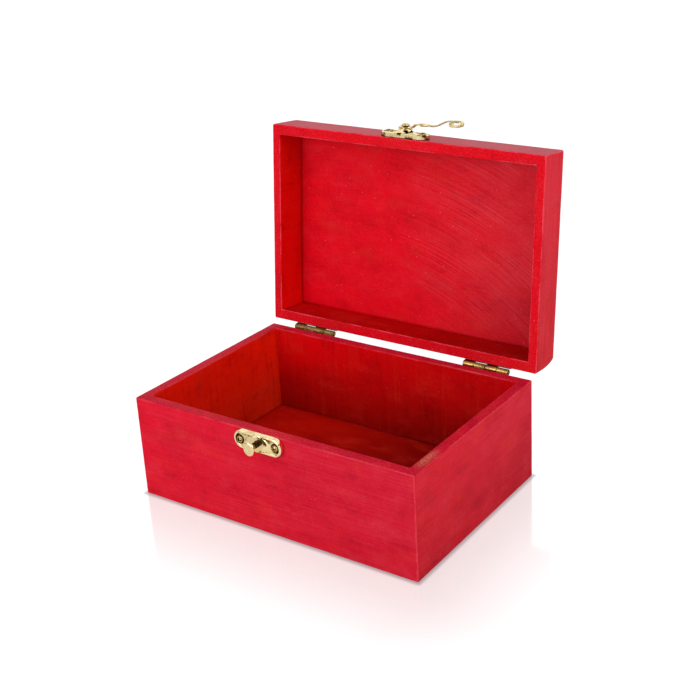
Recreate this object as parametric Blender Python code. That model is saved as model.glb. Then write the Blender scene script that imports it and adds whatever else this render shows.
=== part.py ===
# Wooden pooja box with a hinged lid, two rolled brass hinges and a swing hook latch.
# Metres, +Z up, origin at the centre of the underside; the latch is on the -Y side.
# The lid stands open on its hinges and the latch hook points to +X.

import math

import bmesh
import bpy
from mathutils import Matrix, Vector

# Wooden box
BOX_WIDTH = 0.180
BOX_DEPTH = 0.121
BOX_HEIGHT = 0.059
WALL_THICK = 0.0063
FLOOR_THICK = 0.0074
CORNER_ROUND = 0.0012
EDGE_ROUND = 0.0006

# Wooden lid
LID_HEIGHT = 0.0224
LID_OVERHANG = 0.0009
SIDE_RAIL = 0.0053
END_RAIL = 0.0061
PANEL_THICK = 0.0020
LID_CORNER_ROUND = 0.0018
LID_END_ROUND = 0.0020
BACK_ROUND_DEPTH = 0.0054
BACK_ROUND_HEIGHT = 0.0155
OPEN_ANGLE = 95.7

# Fits
SEAM = 0.0003
RUNNING_GAP = 0.0003
HOLE_CLEARANCE = 0.0003

# Hinges
HINGE_INSET = 0.0303
HINGE_LENGTH = 0.0290
LEAF_THICK = 0.0009
LEAF_HEIGHT = 0.0125
LEAF_CORNER = 0.0020
KNUCKLE_COUNT = 4
HINGE_PIN_RADIUS = 0.0009
PIN_END = 0.0004
ROLL_ANGLE = 288.0
NAIL_RADIUS = 0.0006
NAIL_BITE = 0.0045
NAIL_HEAD_RADIUS = 0.0015
NAIL_HEAD_HEIGHT = 0.0007
NAIL_SPACING = 0.0190

# Latch plates
CATCH_X = -0.0031
PIVOT_X = 0.0002
PLATE_LENGTH = 0.0306
PLATE_WIDTH = 0.0102
PLATE_SHEET = 0.0008
PLATE_RISE = 0.0027
PLATE_LIP = 0.0008
BEAD_WIDTH = 0.0011
BEAD_SLOPE = 0.0004
FACE_DROP = 0.0005
BOSS_RISE = 0.0013
BOSS_TOP_RADIUS = 0.0037
BOSS_FOOT_LENGTH = 0.0080
BOSS_FOOT_WIDTH = 0.0049
DISH_RADIUS = 0.0027
DISH_DEPTH = 0.0005
DISH_FLOOR_SHARE = 0.8
SCREW_SPACING = 0.0228
SCREW_RADIUS = 0.0010
SCREW_BITE = 0.0042
SCREW_HEAD_RADIUS = 0.0020
SCREW_HEAD_HEIGHT = 0.0016
RECESS_WIDTH = 0.0005
RECESS_SPAN = 0.0022
RECESS_DEPTH = 0.0006
PLATE_EDGE_GAP = 0.0001
WINDOW_ROUND = 0.0004
WINDOW_CORNERS = ((0.0031, 0.0022), (0.0003, -0.0036), (0.0041, -0.0019))

# Swing hook
RIVET_RADIUS = 0.0012
RIVET_HEAD_RADIUS = 0.0024
RIVET_HEAD_HEIGHT = 0.0015
RIVET_TAIL_HEIGHT = 0.0006
WASHER_RADIUS = 0.0043
WASHER_THICK = 0.0006
HOOK_SHEET = 0.0008
HOOK_CHAMFER = 0.0002
HOOK_JOG = 0.0021
JOG_START = 0.0038
JOG_END = 0.0075
EYE_RADIUS = 0.0041
MOUTH_RADIUS = 0.0045
MOUTH_SWEEP = 32.0
ARM_HALF_WIDTH = 0.0016
TAB_HALF_WIDTH = 0.0025
ARM_BEND_START = 0.0182
ARM_BEND_END = 0.0295
ARM_BEND_RISE = 0.0038
TAB_END = 0.0366
FOLD_RADIUS = 0.0013
FOLD_RETURN = 0.0043
CURL_RADIUS = 0.0009
CURL_ANGLE = 130.0

# Catch knob
NECK_RADIUS = 0.0013
NECK_CLEARANCE = 0.0004
SHOULDER_RADIUS = 0.0022
SHOULDER_HEIGHT = 0.0005
KNOB_WIDTH = 0.0068
KNOB_HEIGHT = 0.0077
KNOB_THICK = 0.0014

# Facets on round shapes
FINE = 48
MEDIUM = 24
COARSE = 12
ARC_STEPS = 6

# Levels and places that follow from the sizes above
LID_BASE = BOX_HEIGHT + SEAM
LID_WIDTH = BOX_WIDTH + 2 * LID_OVERHANG
BARREL_BORE = HINGE_PIN_RADIUS + RUNNING_GAP
BARREL_RADIUS = BARREL_BORE + LEAF_THICK
HINGE_AXIS = Vector((0.0, BOX_DEPTH / 2 + SEAM + BARREL_RADIUS, BOX_HEIGHT + SEAM / 2))
HINGE_SPACING = BOX_WIDTH - 2 * HINGE_INSET
KNUCKLE_PITCH = HINGE_LENGTH / KNUCKLE_COUNT
NAIL_LEVEL = (BARREL_RADIUS + RUNNING_GAP + LEAF_HEIGHT) / 2

PLATE_TOP = SEAM + PLATE_RISE
FACE_LEVEL = PLATE_TOP - FACE_DROP
BOSS_TOP = PLATE_TOP + BOSS_RISE
DISH_FLOOR = FACE_LEVEL - DISH_DEPTH
WASHER_BASE = BOSS_TOP + SEAM
HOOK_BASE = WASHER_BASE + WASHER_THICK + RUNNING_GAP
RIVET_HEAD_BASE = HOOK_BASE + HOOK_SHEET + RUNNING_GAP
HEAD_BASE = RIVET_HEAD_BASE + HOOK_JOG
CATCH_LEVEL = BOX_HEIGHT - PLATE_EDGE_GAP - PLATE_WIDTH / 2
PIVOT_LEVEL = LID_BASE + PLATE_EDGE_GAP + PLATE_WIDTH / 2
MOUTH_REACH = math.hypot(PIVOT_X - CATCH_X, PIVOT_LEVEL - CATCH_LEVEL)
MOUTH_HALF_WIDTH = NECK_RADIUS + NECK_CLEARANCE

# Colours are linear RGB
STAIN_RED = (0.62, 0.014, 0.030)
STAIN_DARK = (0.36, 0.006, 0.008)
LID_RED = (0.70, 0.012, 0.026)
POLISHED_BRASS = (0.86, 0.69, 0.38)
DULL_BRASS = (0.52, 0.40, 0.20)


def clear_scene():
    for obj in list(bpy.data.objects):
        bpy.data.objects.remove(obj, do_unlink=True)


def finish_material(obj, colour, roughness, metallic):
    material = bpy.data.materials.new(obj.name + "_finish")
    material.use_nodes = True
    shader = material.node_tree.nodes["Principled BSDF"]
    shader.inputs["Base Color"].default_value = (*colour, 1.0)
    shader.inputs["Roughness"].default_value = roughness
    shader.inputs["Metallic"].default_value = metallic
    obj.data.materials.clear()
    obj.data.materials.append(material)


def wood(obj, colour):
    finish_material(obj, colour, 0.42, 0.0)
    return obj


def brass(obj, colour, roughness):
    finish_material(obj, colour, roughness, 1.0)
    return obj


def place(name, bm, parent=None, matrix=None):
    """Turn a bmesh into an object; a child of an axis keeps coordinates from its closed pose."""
    if matrix is not None:
        bm.transform(matrix)
    bmesh.ops.recalc_face_normals(bm, faces=bm.faces)
    mesh = bpy.data.meshes.new(name)
    bm.to_mesh(mesh)
    bm.free()
    obj = bpy.data.objects.new(name, mesh)
    bpy.context.scene.collection.objects.link(obj)
    if parent is not None:
        obj.parent = parent
        obj.location = -Vector(parent["closed_place"])
    return obj


def guide(obj):
    obj.hide_render = True
    obj.display_type = 'WIRE'
    return obj


def shade_round(obj, angle=35.0):
    obj.data.shade_smooth()
    obj.data.set_sharp_from_angle(angle=math.radians(angle))
    return obj


def boolean(obj, operation, other):
    modifier = obj.modifiers.new(other.name, 'BOOLEAN')
    modifier.operation = operation
    modifier.solver = 'EXACT'
    modifier.object = other


def cut(obj, *others):
    for other in others:
        boolean(obj, 'DIFFERENCE', other)
    return obj


def keep_inside(obj, *others):
    for other in others:
        boolean(obj, 'INTERSECT', other)
    return obj


def join_to(obj, *others):
    for other in others:
        boolean(obj, 'UNION', other)
    return obj


def arc(centre, radius_u, radius_v, start, end, steps):
    """Points on an ellipse arc, angles in degrees."""
    points = []
    for i in range(steps + 1):
        a = math.radians(start + (end - start) * i / steps)
        points.append((centre[0] + radius_u * math.cos(a), centre[1] + radius_v * math.sin(a)))
    return points


def rounded_rectangle(width, depth, radius):
    half_w = width / 2 - radius
    half_d = depth / 2 - radius
    points = []
    for quarter, (sx, sy) in enumerate(((1, 1), (-1, 1), (-1, -1), (1, -1))):
        start = 90.0 * quarter
        points += arc((sx * half_w, sy * half_d), radius, radius, start, start + 90.0, ARC_STEPS)
    return points


def stadium(length, width, steps=MEDIUM // 2):
    radius = width / 2
    offset = length / 2 - radius
    right = arc((offset, 0.0), radius, radius, -90.0, 90.0, steps)
    left = arc((-offset, 0.0), radius, radius, 90.0, 270.0, steps)
    return right + left


def loft(sections):
    """Closed solid through sections of equal point count, each a list of 3-D points."""
    bm = bmesh.new()
    rings = [[bm.verts.new(point) for point in section] for section in sections]
    count = len(rings[0])
    for low, high in zip(rings, rings[1:]):
        for i in range(count):
            j = (i + 1) % count
            bm.faces.new((low[i], low[j], high[j], high[i]))
    bm.faces.new(list(reversed(rings[0])))
    bm.faces.new(rings[-1])
    return bm


def prism(points, low, high):
    return loft([[(x, y, low) for x, y in points], [(x, y, high) for x, y in points]])


def oval_turned(profile, segments):
    """Solid through (height, radius_u, radius_v, shift_v) ovals along local Z."""
    sections = []
    for height, radius_u, radius_v, shift in profile:
        ring = arc((0.0, shift), radius_u, radius_v, 0.0, 360.0 - 360.0 / segments, segments - 1)
        sections.append([(x, y, height) for x, y in ring])
    return loft(sections)


def turned(profile, segments):
    """Solid turned about local Z through (height, radius) rings."""
    return oval_turned([(height, radius, radius, 0.0) for height, radius in profile], segments)


def merged(parts):
    """Several separate solids in one bmesh."""
    whole = bmesh.new()
    for bm, matrix in parts:
        bm.transform(matrix)
        mesh = bpy.data.meshes.new("shape")
        bm.to_mesh(mesh)
        bm.free()
        whole.from_mesh(mesh)
        bpy.data.meshes.remove(mesh)
    return whole


def front_frame(x, z):
    """Frame on the front face: local X to +X, local Y to +Z, local Z out of the wood, to -Y."""
    return Matrix(((1, 0, 0, x), (0, 0, -1, -BOX_DEPTH / 2), (0, 1, 0, z), (0, 0, 0, 1)))


def back_frame(x, z):
    """Frame on the back face: local X to -X, local Y to +Z, local Z out of the wood, to +Y."""
    return Matrix(((-1, 0, 0, x), (0, 0, 1, BOX_DEPTH / 2), (0, 1, 0, z), (0, 0, 0, 1)))


def side_frames(width, depth):
    """The four walls: name, turn about Z, distance of the outer face, length."""
    return (("front", 0.0, depth / 2, width), ("right", 90.0, width / 2, depth),
            ("back", 180.0, depth / 2, width), ("left", 270.0, width / 2, depth))


def mitre_wedge(length, thick, next_thick, low, high):
    """Block that keeps one wall of a mitred frame; its ends stop half a seam short of the mitre."""
    slope = next_thick / thick
    pull = SEAM / 2 * math.hypot(1.0, slope)
    outer = length / 2 + slope * thick - pull
    inner = length / 2 - 2 * next_thick - pull
    points = [(-outer, -thick), (outer, -thick), (inner, 2 * thick), (-inner, 2 * thick)]
    return prism(points, low - thick, high + thick)


def mitred_walls(suffix, width, depth, side_thick, end_thick, low, high, form, cavity, parent=None):
    walls = {}
    for side, turn, reach, length in side_frames(width, depth):
        thicks = (end_thick, side_thick) if side in ("front", "back") else (side_thick, end_thick)
        matrix = Matrix.Rotation(math.radians(turn), 4, 'Z') @ Matrix.Translation((0, -reach, 0))
        wall = place(side + suffix, mitre_wedge(length, *thicks, low, high), parent, matrix)
        keep_inside(wall, form)
        cut(wall, cavity)
        walls[side] = wall
    return walls


def flared_block(width, depth, closed_end, rim, flare):
    """Cavity whose mouth widens over the rounded inner edge of the rim."""
    away = math.copysign(1.0, rim - closed_end)
    sections = []
    steps = [(closed_end, 0.0)]
    for i in range(ARC_STEPS // 2 + 1):
        a = math.radians(90.0 * i / (ARC_STEPS // 2))
        steps.append((rim - away * flare * (1 - math.sin(a)), flare * (1 - math.cos(a))))
    steps.append((rim + away * flare, flare))
    for level, spread in steps:
        half_w = width / 2 + spread
        half_d = depth / 2 + spread
        sections.append([(half_w, half_d, level), (-half_w, half_d, level),
                         (-half_w, -half_d, level), (half_w, -half_d, level)])
    return loft(sections)


def make_box():
    form = prism(rounded_rectangle(BOX_WIDTH, BOX_DEPTH, CORNER_ROUND), 0.0, BOX_HEIGHT)
    rims = [e for e in form.edges if abs(e.verts[0].co.z - e.verts[1].co.z) < 1e-7]
    bmesh.ops.bevel(form, geom=rims, offset=EDGE_ROUND, segments=3, profile=0.5,
                    affect='EDGES', clamp_overlap=True)
    form = guide(place("box_form", form))
    inner_w = BOX_WIDTH - 2 * WALL_THICK
    inner_d = BOX_DEPTH - 2 * WALL_THICK
    cavity = flared_block(inner_w, inner_d, -WALL_THICK, BOX_HEIGHT, EDGE_ROUND)
    cavity = guide(place("box_cavity", cavity))
    walls = mitred_walls("_board", BOX_WIDTH, BOX_DEPTH, WALL_THICK, WALL_THICK, 0.0, BOX_HEIGHT,
                         form, cavity)
    for wall in walls.values():
        wood(shade_round(wall), STAIN_RED)
    half_w = inner_w / 2 - SEAM
    half_d = inner_d / 2 - SEAM
    corners = [(-half_w, -half_d), (half_w, -half_d), (half_w, half_d), (-half_w, half_d)]
    wood(place("floor_panel", prism(corners, 0.0, FLOOR_THICK)), STAIN_DARK)
    return walls


def lid_form(lid_axis):
    """Lid block from three silhouettes: plan, end view and front view."""
    low = LID_BASE
    high = LID_BASE + LID_HEIGHT
    spare = END_RAIL
    half_w = LID_WIDTH / 2
    half_d = BOX_DEPTH / 2
    plan = rounded_rectangle(LID_WIDTH, BOX_DEPTH, LID_CORNER_ROUND)
    block = place("lid_form", prism(plan, low - spare, high + spare), lid_axis)

    # End view, points are (depth, height): the back top edge is rounded far down
    end = arc((-half_d + EDGE_ROUND, low + EDGE_ROUND), EDGE_ROUND, EDGE_ROUND, 180, 270, 3)
    end += arc((half_d - EDGE_ROUND, low + EDGE_ROUND), EDGE_ROUND, EDGE_ROUND, 270, 360, 3)
    end += arc((half_d - BACK_ROUND_DEPTH, high - BACK_ROUND_HEIGHT),
               BACK_ROUND_DEPTH, BACK_ROUND_HEIGHT, 0, 90, 2 * ARC_STEPS)
    end += arc((-half_d + EDGE_ROUND, high - EDGE_ROUND), EDGE_ROUND, EDGE_ROUND, 90, 180, 3)
    reach = half_w + spare
    along_x = loft([[(-reach, y, z) for y, z in end], [(reach, y, z) for y, z in end]])
    along_x = guide(place("lid_end_view", along_x, lid_axis))

    # Front view, points are (width, height)
    front = arc((-half_w + EDGE_ROUND, low + EDGE_ROUND), EDGE_ROUND, EDGE_ROUND, 180, 270, 3)
    front += arc((half_w - EDGE_ROUND, low + EDGE_ROUND), EDGE_ROUND, EDGE_ROUND, 270, 360, 3)
    front += arc((half_w - LID_END_ROUND, high - LID_END_ROUND),
                 LID_END_ROUND, LID_END_ROUND, 0, 90, ARC_STEPS)
    front += arc((-half_w + LID_END_ROUND, high - LID_END_ROUND),
                 LID_END_ROUND, LID_END_ROUND, 90, 180, ARC_STEPS)
    reach = half_d + spare
    along_y = loft([[(x, -reach, z) for x, z in front], [(x, reach, z) for x, z in front]])
    along_y = guide(place("lid_front_view", along_y, lid_axis))
    keep_inside(block, along_x, along_y)
    return guide(block)


def make_lid(lid_axis):
    form = lid_form(lid_axis)
    top = LID_BASE + LID_HEIGHT
    inner_w = LID_WIDTH - 2 * SIDE_RAIL
    inner_d = BOX_DEPTH - 2 * END_RAIL
    cavity = flared_block(inner_w, inner_d, top + END_RAIL, LID_BASE, EDGE_ROUND)
    cavity = guide(place("lid_cavity", cavity, lid_axis))
    walls = mitred_walls("_rail", LID_WIDTH, BOX_DEPTH, SIDE_RAIL, END_RAIL, LID_BASE, top,
                         form, cavity, lid_axis)
    for side, wall in walls.items():
        wall.name = "lid_" + side + "_rail"
        wood(shade_round(wall), LID_RED)
    half_w = inner_w / 2 - SEAM
    half_d = inner_d / 2 - SEAM
    corners = [(-half_w, -half_d), (half_w, -half_d), (half_w, half_d), (-half_w, half_d)]
    panel = place("lid_panel", prism(corners, top - PANEL_THICK, top), lid_axis)
    wood(panel, LID_RED)
    return walls


def leaf_profile(up, height):
    """Rolled leaf seen along the axis, which is at the origin: (y, z) points of the sheet."""
    outer = BARREL_RADIUS
    inner = BARREL_BORE
    outside = arc((0.0, 0.0), outer, outer, 180.0, 180.0 - ROLL_ANGLE, FINE // 2)
    inside = arc((0.0, 0.0), inner, inner, 180.0 - ROLL_ANGLE, 180.0, FINE // 2)
    points = [(-outer, -height)] + outside + inside + [(-inner, -height)]
    return [(y, -up * z) for y, z in points]


def make_leaf(name, hinge_x, up, own_knuckles, parent):
    """Leaf with two rounded corners, rolled over its length and notched for the other's knuckles."""
    start = hinge_x - HINGE_LENGTH / 2
    axis_y = HINGE_AXIS.y
    axis_z = HINGE_AXIS.z
    corner = arc((LEAF_CORNER, LEAF_HEIGHT - LEAF_CORNER), LEAF_CORNER, LEAF_CORNER,
                 180, 90, ARC_STEPS)
    ends = [(start + inset, height) for inset, height in corner]
    ends += [(start + HINGE_LENGTH - inset, height) for inset, height in reversed(corner)]
    sections = []
    for x, height in ends:
        profile = leaf_profile(up, height)
        sections.append([(x, axis_y + y, axis_z + z) for y, z in profile])
    leaf = place(name, loft(sections), parent)

    reach = BARREL_RADIUS + RUNNING_GAP
    for index in range(KNUCKLE_COUNT):
        if index in own_knuckles:
            continue
        low_x = start + index * KNUCKLE_PITCH - (RUNNING_GAP / 2 if index else reach)
        high_x = start + (index + 1) * KNUCKLE_PITCH
        high_x += RUNNING_GAP / 2 if index < KNUCKLE_COUNT - 1 else reach
        corners = [(low_x, axis_y - 2 * reach), (high_x, axis_y - 2 * reach),
                   (high_x, axis_y + 2 * reach), (low_x, axis_y + 2 * reach)]
        notch = prism(corners, axis_z - (1.5 + up / 2) * reach, axis_z + (1.5 - up / 2) * reach)
        cut(leaf, guide(place(name + "_notch_" + str(index), notch, parent)))
    return leaf


def nail_places(up):
    places = []
    for hinge_x in (-HINGE_SPACING / 2, HINGE_SPACING / 2):
        for side in (-1, 1):
            places.append((hinge_x + side * NAIL_SPACING / 2, HINGE_AXIS.z + up * NAIL_LEVEL))
    return places


def make_nails(owner, up, parent):
    """Domed nails through both leaves; each head lies a seam off the leaf."""
    seat = SEAM + LEAF_THICK + SEAM
    dome = seat + NAIL_HEAD_HEIGHT
    profile = [(-NAIL_BITE, NAIL_RADIUS * 0.3), (-NAIL_BITE + 2 * NAIL_RADIUS, NAIL_RADIUS),
               (seat, NAIL_RADIUS), (seat, NAIL_HEAD_RADIUS),
               (seat + NAIL_HEAD_HEIGHT * 0.5, NAIL_HEAD_RADIUS * 0.85),
               (dome, NAIL_HEAD_RADIUS * 0.35)]
    for number, (x, z) in enumerate(nail_places(up), 1):
        name = owner + "_hinge_nail_" + str(number)
        nail = place(name, turned(profile, COARSE), parent, back_frame(x, z))
        brass(shade_round(nail), DULL_BRASS, 0.45)


def hole_cutter(name, places, frame, radius, low, high, parent):
    rings = [(low, radius), (high, radius)]
    parts = [(turned(rings, COARSE), frame(x, z)) for x, z in places]
    return guide(place(name, merged(parts), parent))


def make_hinges(back_board, lid_back_rail, lid_axis):
    """Lid leaves carry knuckles 0 and 2 from the left, box leaves knuckles 1 and 3."""
    sets = (("box", -1, (1, 3), None, back_board), ("lid", 1, (0, 2), lid_axis, lid_back_rail))
    for owner, up, knuckles, parent, board in sets:
        places = nail_places(up)
        radius = NAIL_RADIUS + HOLE_CLEARANCE
        holes = hole_cutter(owner + "_nail_holes", places, back_frame, radius,
                            -NAIL_BITE - HOLE_CLEARANCE, LEAF_THICK * 3, parent)
        for side, sign in (("left", -1), ("right", 1)):
            name = owner + "_hinge_leaf_" + side
            leaf = make_leaf(name, sign * HINGE_SPACING / 2, up, knuckles, parent)
            cut(leaf, holes)
            brass(shade_round(leaf), POLISHED_BRASS if side == "right" else DULL_BRASS, 0.3)
        cut(board, holes)
        make_nails(owner, up, parent)
    for side, sign in (("left", -1), ("right", 1)):
        reach = HINGE_LENGTH / 2 + PIN_END
        radius = HINGE_PIN_RADIUS
        tip = radius * 0.6
        rings = [(-reach, tip), (-reach + PIN_END, radius), (reach - PIN_END, radius), (reach, tip)]
        matrix = Matrix.Translation((sign * HINGE_SPACING / 2, HINGE_AXIS.y, HINGE_AXIS.z))
        matrix = matrix @ Matrix.Rotation(math.radians(90.0), 4, 'Y')
        pin = place("hinge_pin_" + side, turned(rings, MEDIUM), None, matrix)
        brass(shade_round(pin), DULL_BRASS, 0.35)


def plate_body(name, inset, drop, matrix, parent):
    """Stamped stadium with a rounded shoulder and an oval boss, inset and lowered all over."""
    length = PLATE_LENGTH - 2 * inset
    width = PLATE_WIDTH - 2 * inset
    top = PLATE_TOP - drop
    foot = SEAM - drop
    sections = [[(x, y, foot) for x, y in stadium(length, width)]]
    for i in range(5):
        a = math.radians(90.0 * i / 4)
        lip = PLATE_LIP * (1 - math.cos(a))
        level = top - PLATE_LIP * (1 - math.sin(a))
        outline = stadium(length - 2 * lip, width - 2 * lip)
        sections.append([(x, y, level) for x, y in outline])
    body = place(name, loft(sections), parent, matrix)
    if not inset:
        cut(body, guide(place(name + "_face", face_recess(), parent, matrix)))
    crown = BOSS_TOP - inset
    rise = BOSS_TOP - FACE_LEVEL
    top_radius = BOSS_TOP_RADIUS - inset
    flare_u = BOSS_FOOT_LENGTH - BOSS_TOP_RADIUS
    flare_v = BOSS_FOOT_WIDTH - BOSS_TOP_RADIUS
    foot = (FACE_LEVEL - drop - PLATE_SHEET / 2, BOSS_FOOT_LENGTH - inset, BOSS_FOOT_WIDTH - inset, 0.0)
    rings = [foot]
    for i in range(9):
        t = i / 8
        fall = rise * (1 + math.cos(math.pi * t)) / 2
        rings.append((crown - fall, top_radius + flare_u * (1 - t), top_radius + flare_v * (1 - t), 0.0))
    join_to(body, guide(place(name + "_boss", oval_turned(rings, FINE), parent, matrix)))
    return body


def face_recess():
    """Sunk face of a plate inside its raised bead."""
    sections = []
    for level, inset in ((FACE_LEVEL, BEAD_WIDTH + BEAD_SLOPE), (PLATE_TOP, BEAD_WIDTH),
                         (BOSS_TOP, BEAD_WIDTH)):
        outline = stadium(PLATE_LENGTH - 2 * inset, PLATE_WIDTH - 2 * inset)
        sections.append([(x, y, level) for x, y in outline])
    return loft(sections)


def stamped_plate(name, matrix, parent, window):
    """Latch plate of sheet: beaded shell, two dishes for screws and a boss with a hole."""
    plate = plate_body(name, 0.0, 0.0, matrix, parent)
    hollow = guide(plate_body(name + "_hollow", PLATE_SHEET, PLATE_SHEET + FACE_DROP, matrix, parent))
    ends = (-SCREW_SPACING / 2, SCREW_SPACING / 2)

    def at_ends(rings):
        places = [matrix @ Matrix.Translation((x, 0, 0)) for x in ends]
        return merged([(turned(rings, FINE), there) for there in places])

    low = -PLATE_SHEET
    wall = DISH_RADIUS + PLATE_SHEET
    cups = at_ends([(low - PLATE_SHEET, wall), (PLATE_TOP, wall)])
    cut(hollow, guide(place(name + "_cups", cups, parent)))
    rim = DISH_RADIUS
    floor = DISH_RADIUS * DISH_FLOOR_SHARE
    hole = SCREW_RADIUS + HOLE_CLEARANCE
    dishes = at_ends([(low, hole), (DISH_FLOOR, hole), (DISH_FLOOR, floor),
                      (FACE_LEVEL, rim), (BOSS_TOP, rim)])
    dishes = guide(place(name + "_dishes", dishes, parent))
    bore = RIVET_RADIUS + HOLE_CLEARANCE if not window else NECK_RADIUS + HOLE_CLEARANCE
    centre = turned([(low, bore), (HEAD_BASE, bore)], MEDIUM)
    centre = guide(place(name + "_bore", centre, parent, matrix))
    cut(plate, hollow, dishes, centre)
    if window:
        opening = prism(WINDOW_CORNERS, low, HEAD_BASE)
        corners = [e for e in opening.edges if abs(e.verts[0].co.z - e.verts[1].co.z) > SEAM]
        bmesh.ops.bevel(opening, geom=corners, offset=WINDOW_ROUND, segments=3, profile=0.5,
                        affect='EDGES')
        cut(plate, guide(place(name + "_window", opening, parent, matrix)))
    return brass(shade_round(plate), POLISHED_BRASS, 0.22)


def plus_outline(width, span):
    near = width / 2
    far = span / 2
    return [(near, near), (near, far), (-near, far), (-near, near), (-far, near), (-far, -near),
            (-near, -near), (-near, -far), (near, -far), (near, -near), (far, -near), (far, near)]


def plate_screws(owner, matrix, parent):
    """Two round-headed screws with a cross recess, each head a seam above its dish."""
    seat = DISH_FLOOR + SEAM
    crown = seat + SCREW_HEAD_HEIGHT
    profile = [(-SCREW_BITE, SCREW_RADIUS * 0.25), (-SCREW_BITE + 2 * SCREW_RADIUS, SCREW_RADIUS),
               (seat, SCREW_RADIUS), (seat, SCREW_HEAD_RADIUS)]
    for step in (30.0, 60.0):
        a = math.radians(step)
        profile.append((seat + SCREW_HEAD_HEIGHT * math.sin(a), SCREW_HEAD_RADIUS * math.cos(a)))
    profile.append((crown, SCREW_HEAD_RADIUS * 0.2))
    for side, sign in (("left", -1), ("right", 1)):
        name = owner + "_screw_" + side
        there = matrix @ Matrix.Translation((sign * SCREW_SPACING / 2, 0, 0))
        there = there @ Matrix.Rotation(math.radians(20.0 * sign), 4, 'Z')
        screw = place(name, turned(profile, MEDIUM), parent, there)
        recess = prism(plus_outline(RECESS_WIDTH, RECESS_SPAN), crown - RECESS_DEPTH, crown + SEAM)
        cut(screw, guide(place(name + "_recess", recess, parent, there)))
        brass(shade_round(screw), DULL_BRASS, 0.3)


def screw_hole_places(x, z):
    return [(x - SCREW_SPACING / 2, z), (x + SCREW_SPACING / 2, z)]


def make_catch(front_board):
    matrix = front_frame(CATCH_X, CATCH_LEVEL)
    stamped_plate("catch_plate", matrix, None, True)
    plate_screws("catch", matrix, None)
    radius = SCREW_RADIUS + HOLE_CLEARANCE
    places = screw_hole_places(CATCH_X, CATCH_LEVEL)
    cut(front_board, hole_cutter("catch_screw_holes", places, front_frame,
                                 radius, -SCREW_BITE - HOLE_CLEARANCE, SEAM, None))

    # Riveted knob: tail under the sheet, shoulder on the boss, neck and an oval head
    sheet_under = BOSS_TOP - PLATE_SHEET
    tail_low = sheet_under - SEAM - RIVET_TAIL_HEIGHT
    tail_high = sheet_under - SEAM
    shoulder = BOSS_TOP + SEAM
    rings = [(tail_low, NECK_RADIUS * 1.2), (tail_high, NECK_RADIUS * 1.5),
             (tail_high, NECK_RADIUS), (shoulder, NECK_RADIUS),
             (shoulder, SHOULDER_RADIUS), (shoulder + SHOULDER_HEIGHT, SHOULDER_RADIUS),
             (shoulder + SHOULDER_HEIGHT, NECK_RADIUS), (HEAD_BASE, NECK_RADIUS)]
    profile = [(level, radius, radius, 0.0) for level, radius in rings]
    half_w = KNOB_WIDTH / 2
    half_h = KNOB_HEIGHT / 2
    for rise, share in ((0.0, 0.9), (0.12, 0.98), (0.3, 1.0), (0.6, 0.98), (0.85, 0.93), (1.0, 0.85)):
        level = HEAD_BASE + rise * KNOB_THICK
        profile.append((level, half_w * share, half_h * share, 0.0))
    knob = place("catch_knob", oval_turned(profile, FINE), None, matrix)
    brass(shade_round(knob), POLISHED_BRASS, 0.2)


def make_latch_seat(lid_front_rail, lid_axis):
    matrix = front_frame(PIVOT_X, PIVOT_LEVEL)
    stamped_plate("latch_plate", matrix, lid_axis, False)
    plate_screws("latch", matrix, lid_axis)
    radius = SCREW_RADIUS + HOLE_CLEARANCE
    places = screw_hole_places(PIVOT_X, PIVOT_LEVEL)
    cut(lid_front_rail, hole_cutter("latch_screw_holes", places, front_frame,
                                    radius, -SCREW_BITE - HOLE_CLEARANCE, SEAM, lid_axis))

    bore = RIVET_RADIUS + RUNNING_GAP
    edge = WASHER_THICK / 2
    middle = WASHER_BASE + edge
    outline = arc((WASHER_RADIUS - edge, middle), edge, edge, -90, 90, ARC_STEPS)
    rings = [(level, radius) for radius, level in outline]
    washer = place("latch_washer", turned(rings, FINE), lid_axis, matrix)
    hole = turned([(BOSS_TOP, bore), (HEAD_BASE, bore)], MEDIUM)
    cut(washer, guide(place("washer_bore", hole, lid_axis, matrix)))
    brass(shade_round(washer), POLISHED_BRASS, 0.25)

    sheet_under = BOSS_TOP - PLATE_SHEET
    tail_low = sheet_under - SEAM - RIVET_TAIL_HEIGHT
    tail_high = sheet_under - SEAM
    profile = [(tail_low, RIVET_RADIUS * 1.3), (tail_high, RIVET_RADIUS * 1.6),
               (tail_high, RIVET_RADIUS), (RIVET_HEAD_BASE, RIVET_RADIUS)]
    for step in (0.0, 22.0, 44.0, 62.0, 78.0):
        a = math.radians(step)
        level = RIVET_HEAD_BASE + RIVET_HEAD_HEIGHT * math.sin(a)
        profile.append((level, RIVET_HEAD_RADIUS * math.cos(a)))
    rivet = place("latch_rivet", turned(profile, MEDIUM), lid_axis, matrix)
    brass(shade_round(rivet), DULL_BRASS, 0.28)


def hook_half_width(s):
    """Half width of the flat hook at distance s from the rivet: eye, mouth disc or arm."""
    width = ARM_HALF_WIDTH if s > 0 else 0.0
    for centre, radius in ((0.0, EYE_RADIUS), (MOUTH_REACH, MOUTH_RADIUS)):
        inside = radius ** 2 - (s - centre) ** 2
        if inside > 0:
            width = max(width, math.sqrt(inside))
    if s > ARM_BEND_START:
        share = min(1.0, (s - ARM_BEND_START) / (TAB_END - FOLD_RADIUS - ARM_BEND_START))
        width = ARM_HALF_WIDTH + (TAB_HALF_WIDTH - ARM_HALF_WIDTH) * share
    return width


def ramp(s, start, end, rise):
    """Height and slope angle of a smooth step in the sheet between start and end."""
    t = min(1.0, max(0.0, (s - start) / (end - start)))
    height = rise * (1 - math.cos(math.pi * t)) / 2
    slope = math.atan(rise * math.pi * math.sin(math.pi * t) / (2 * (end - start)))
    return height, slope


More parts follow.
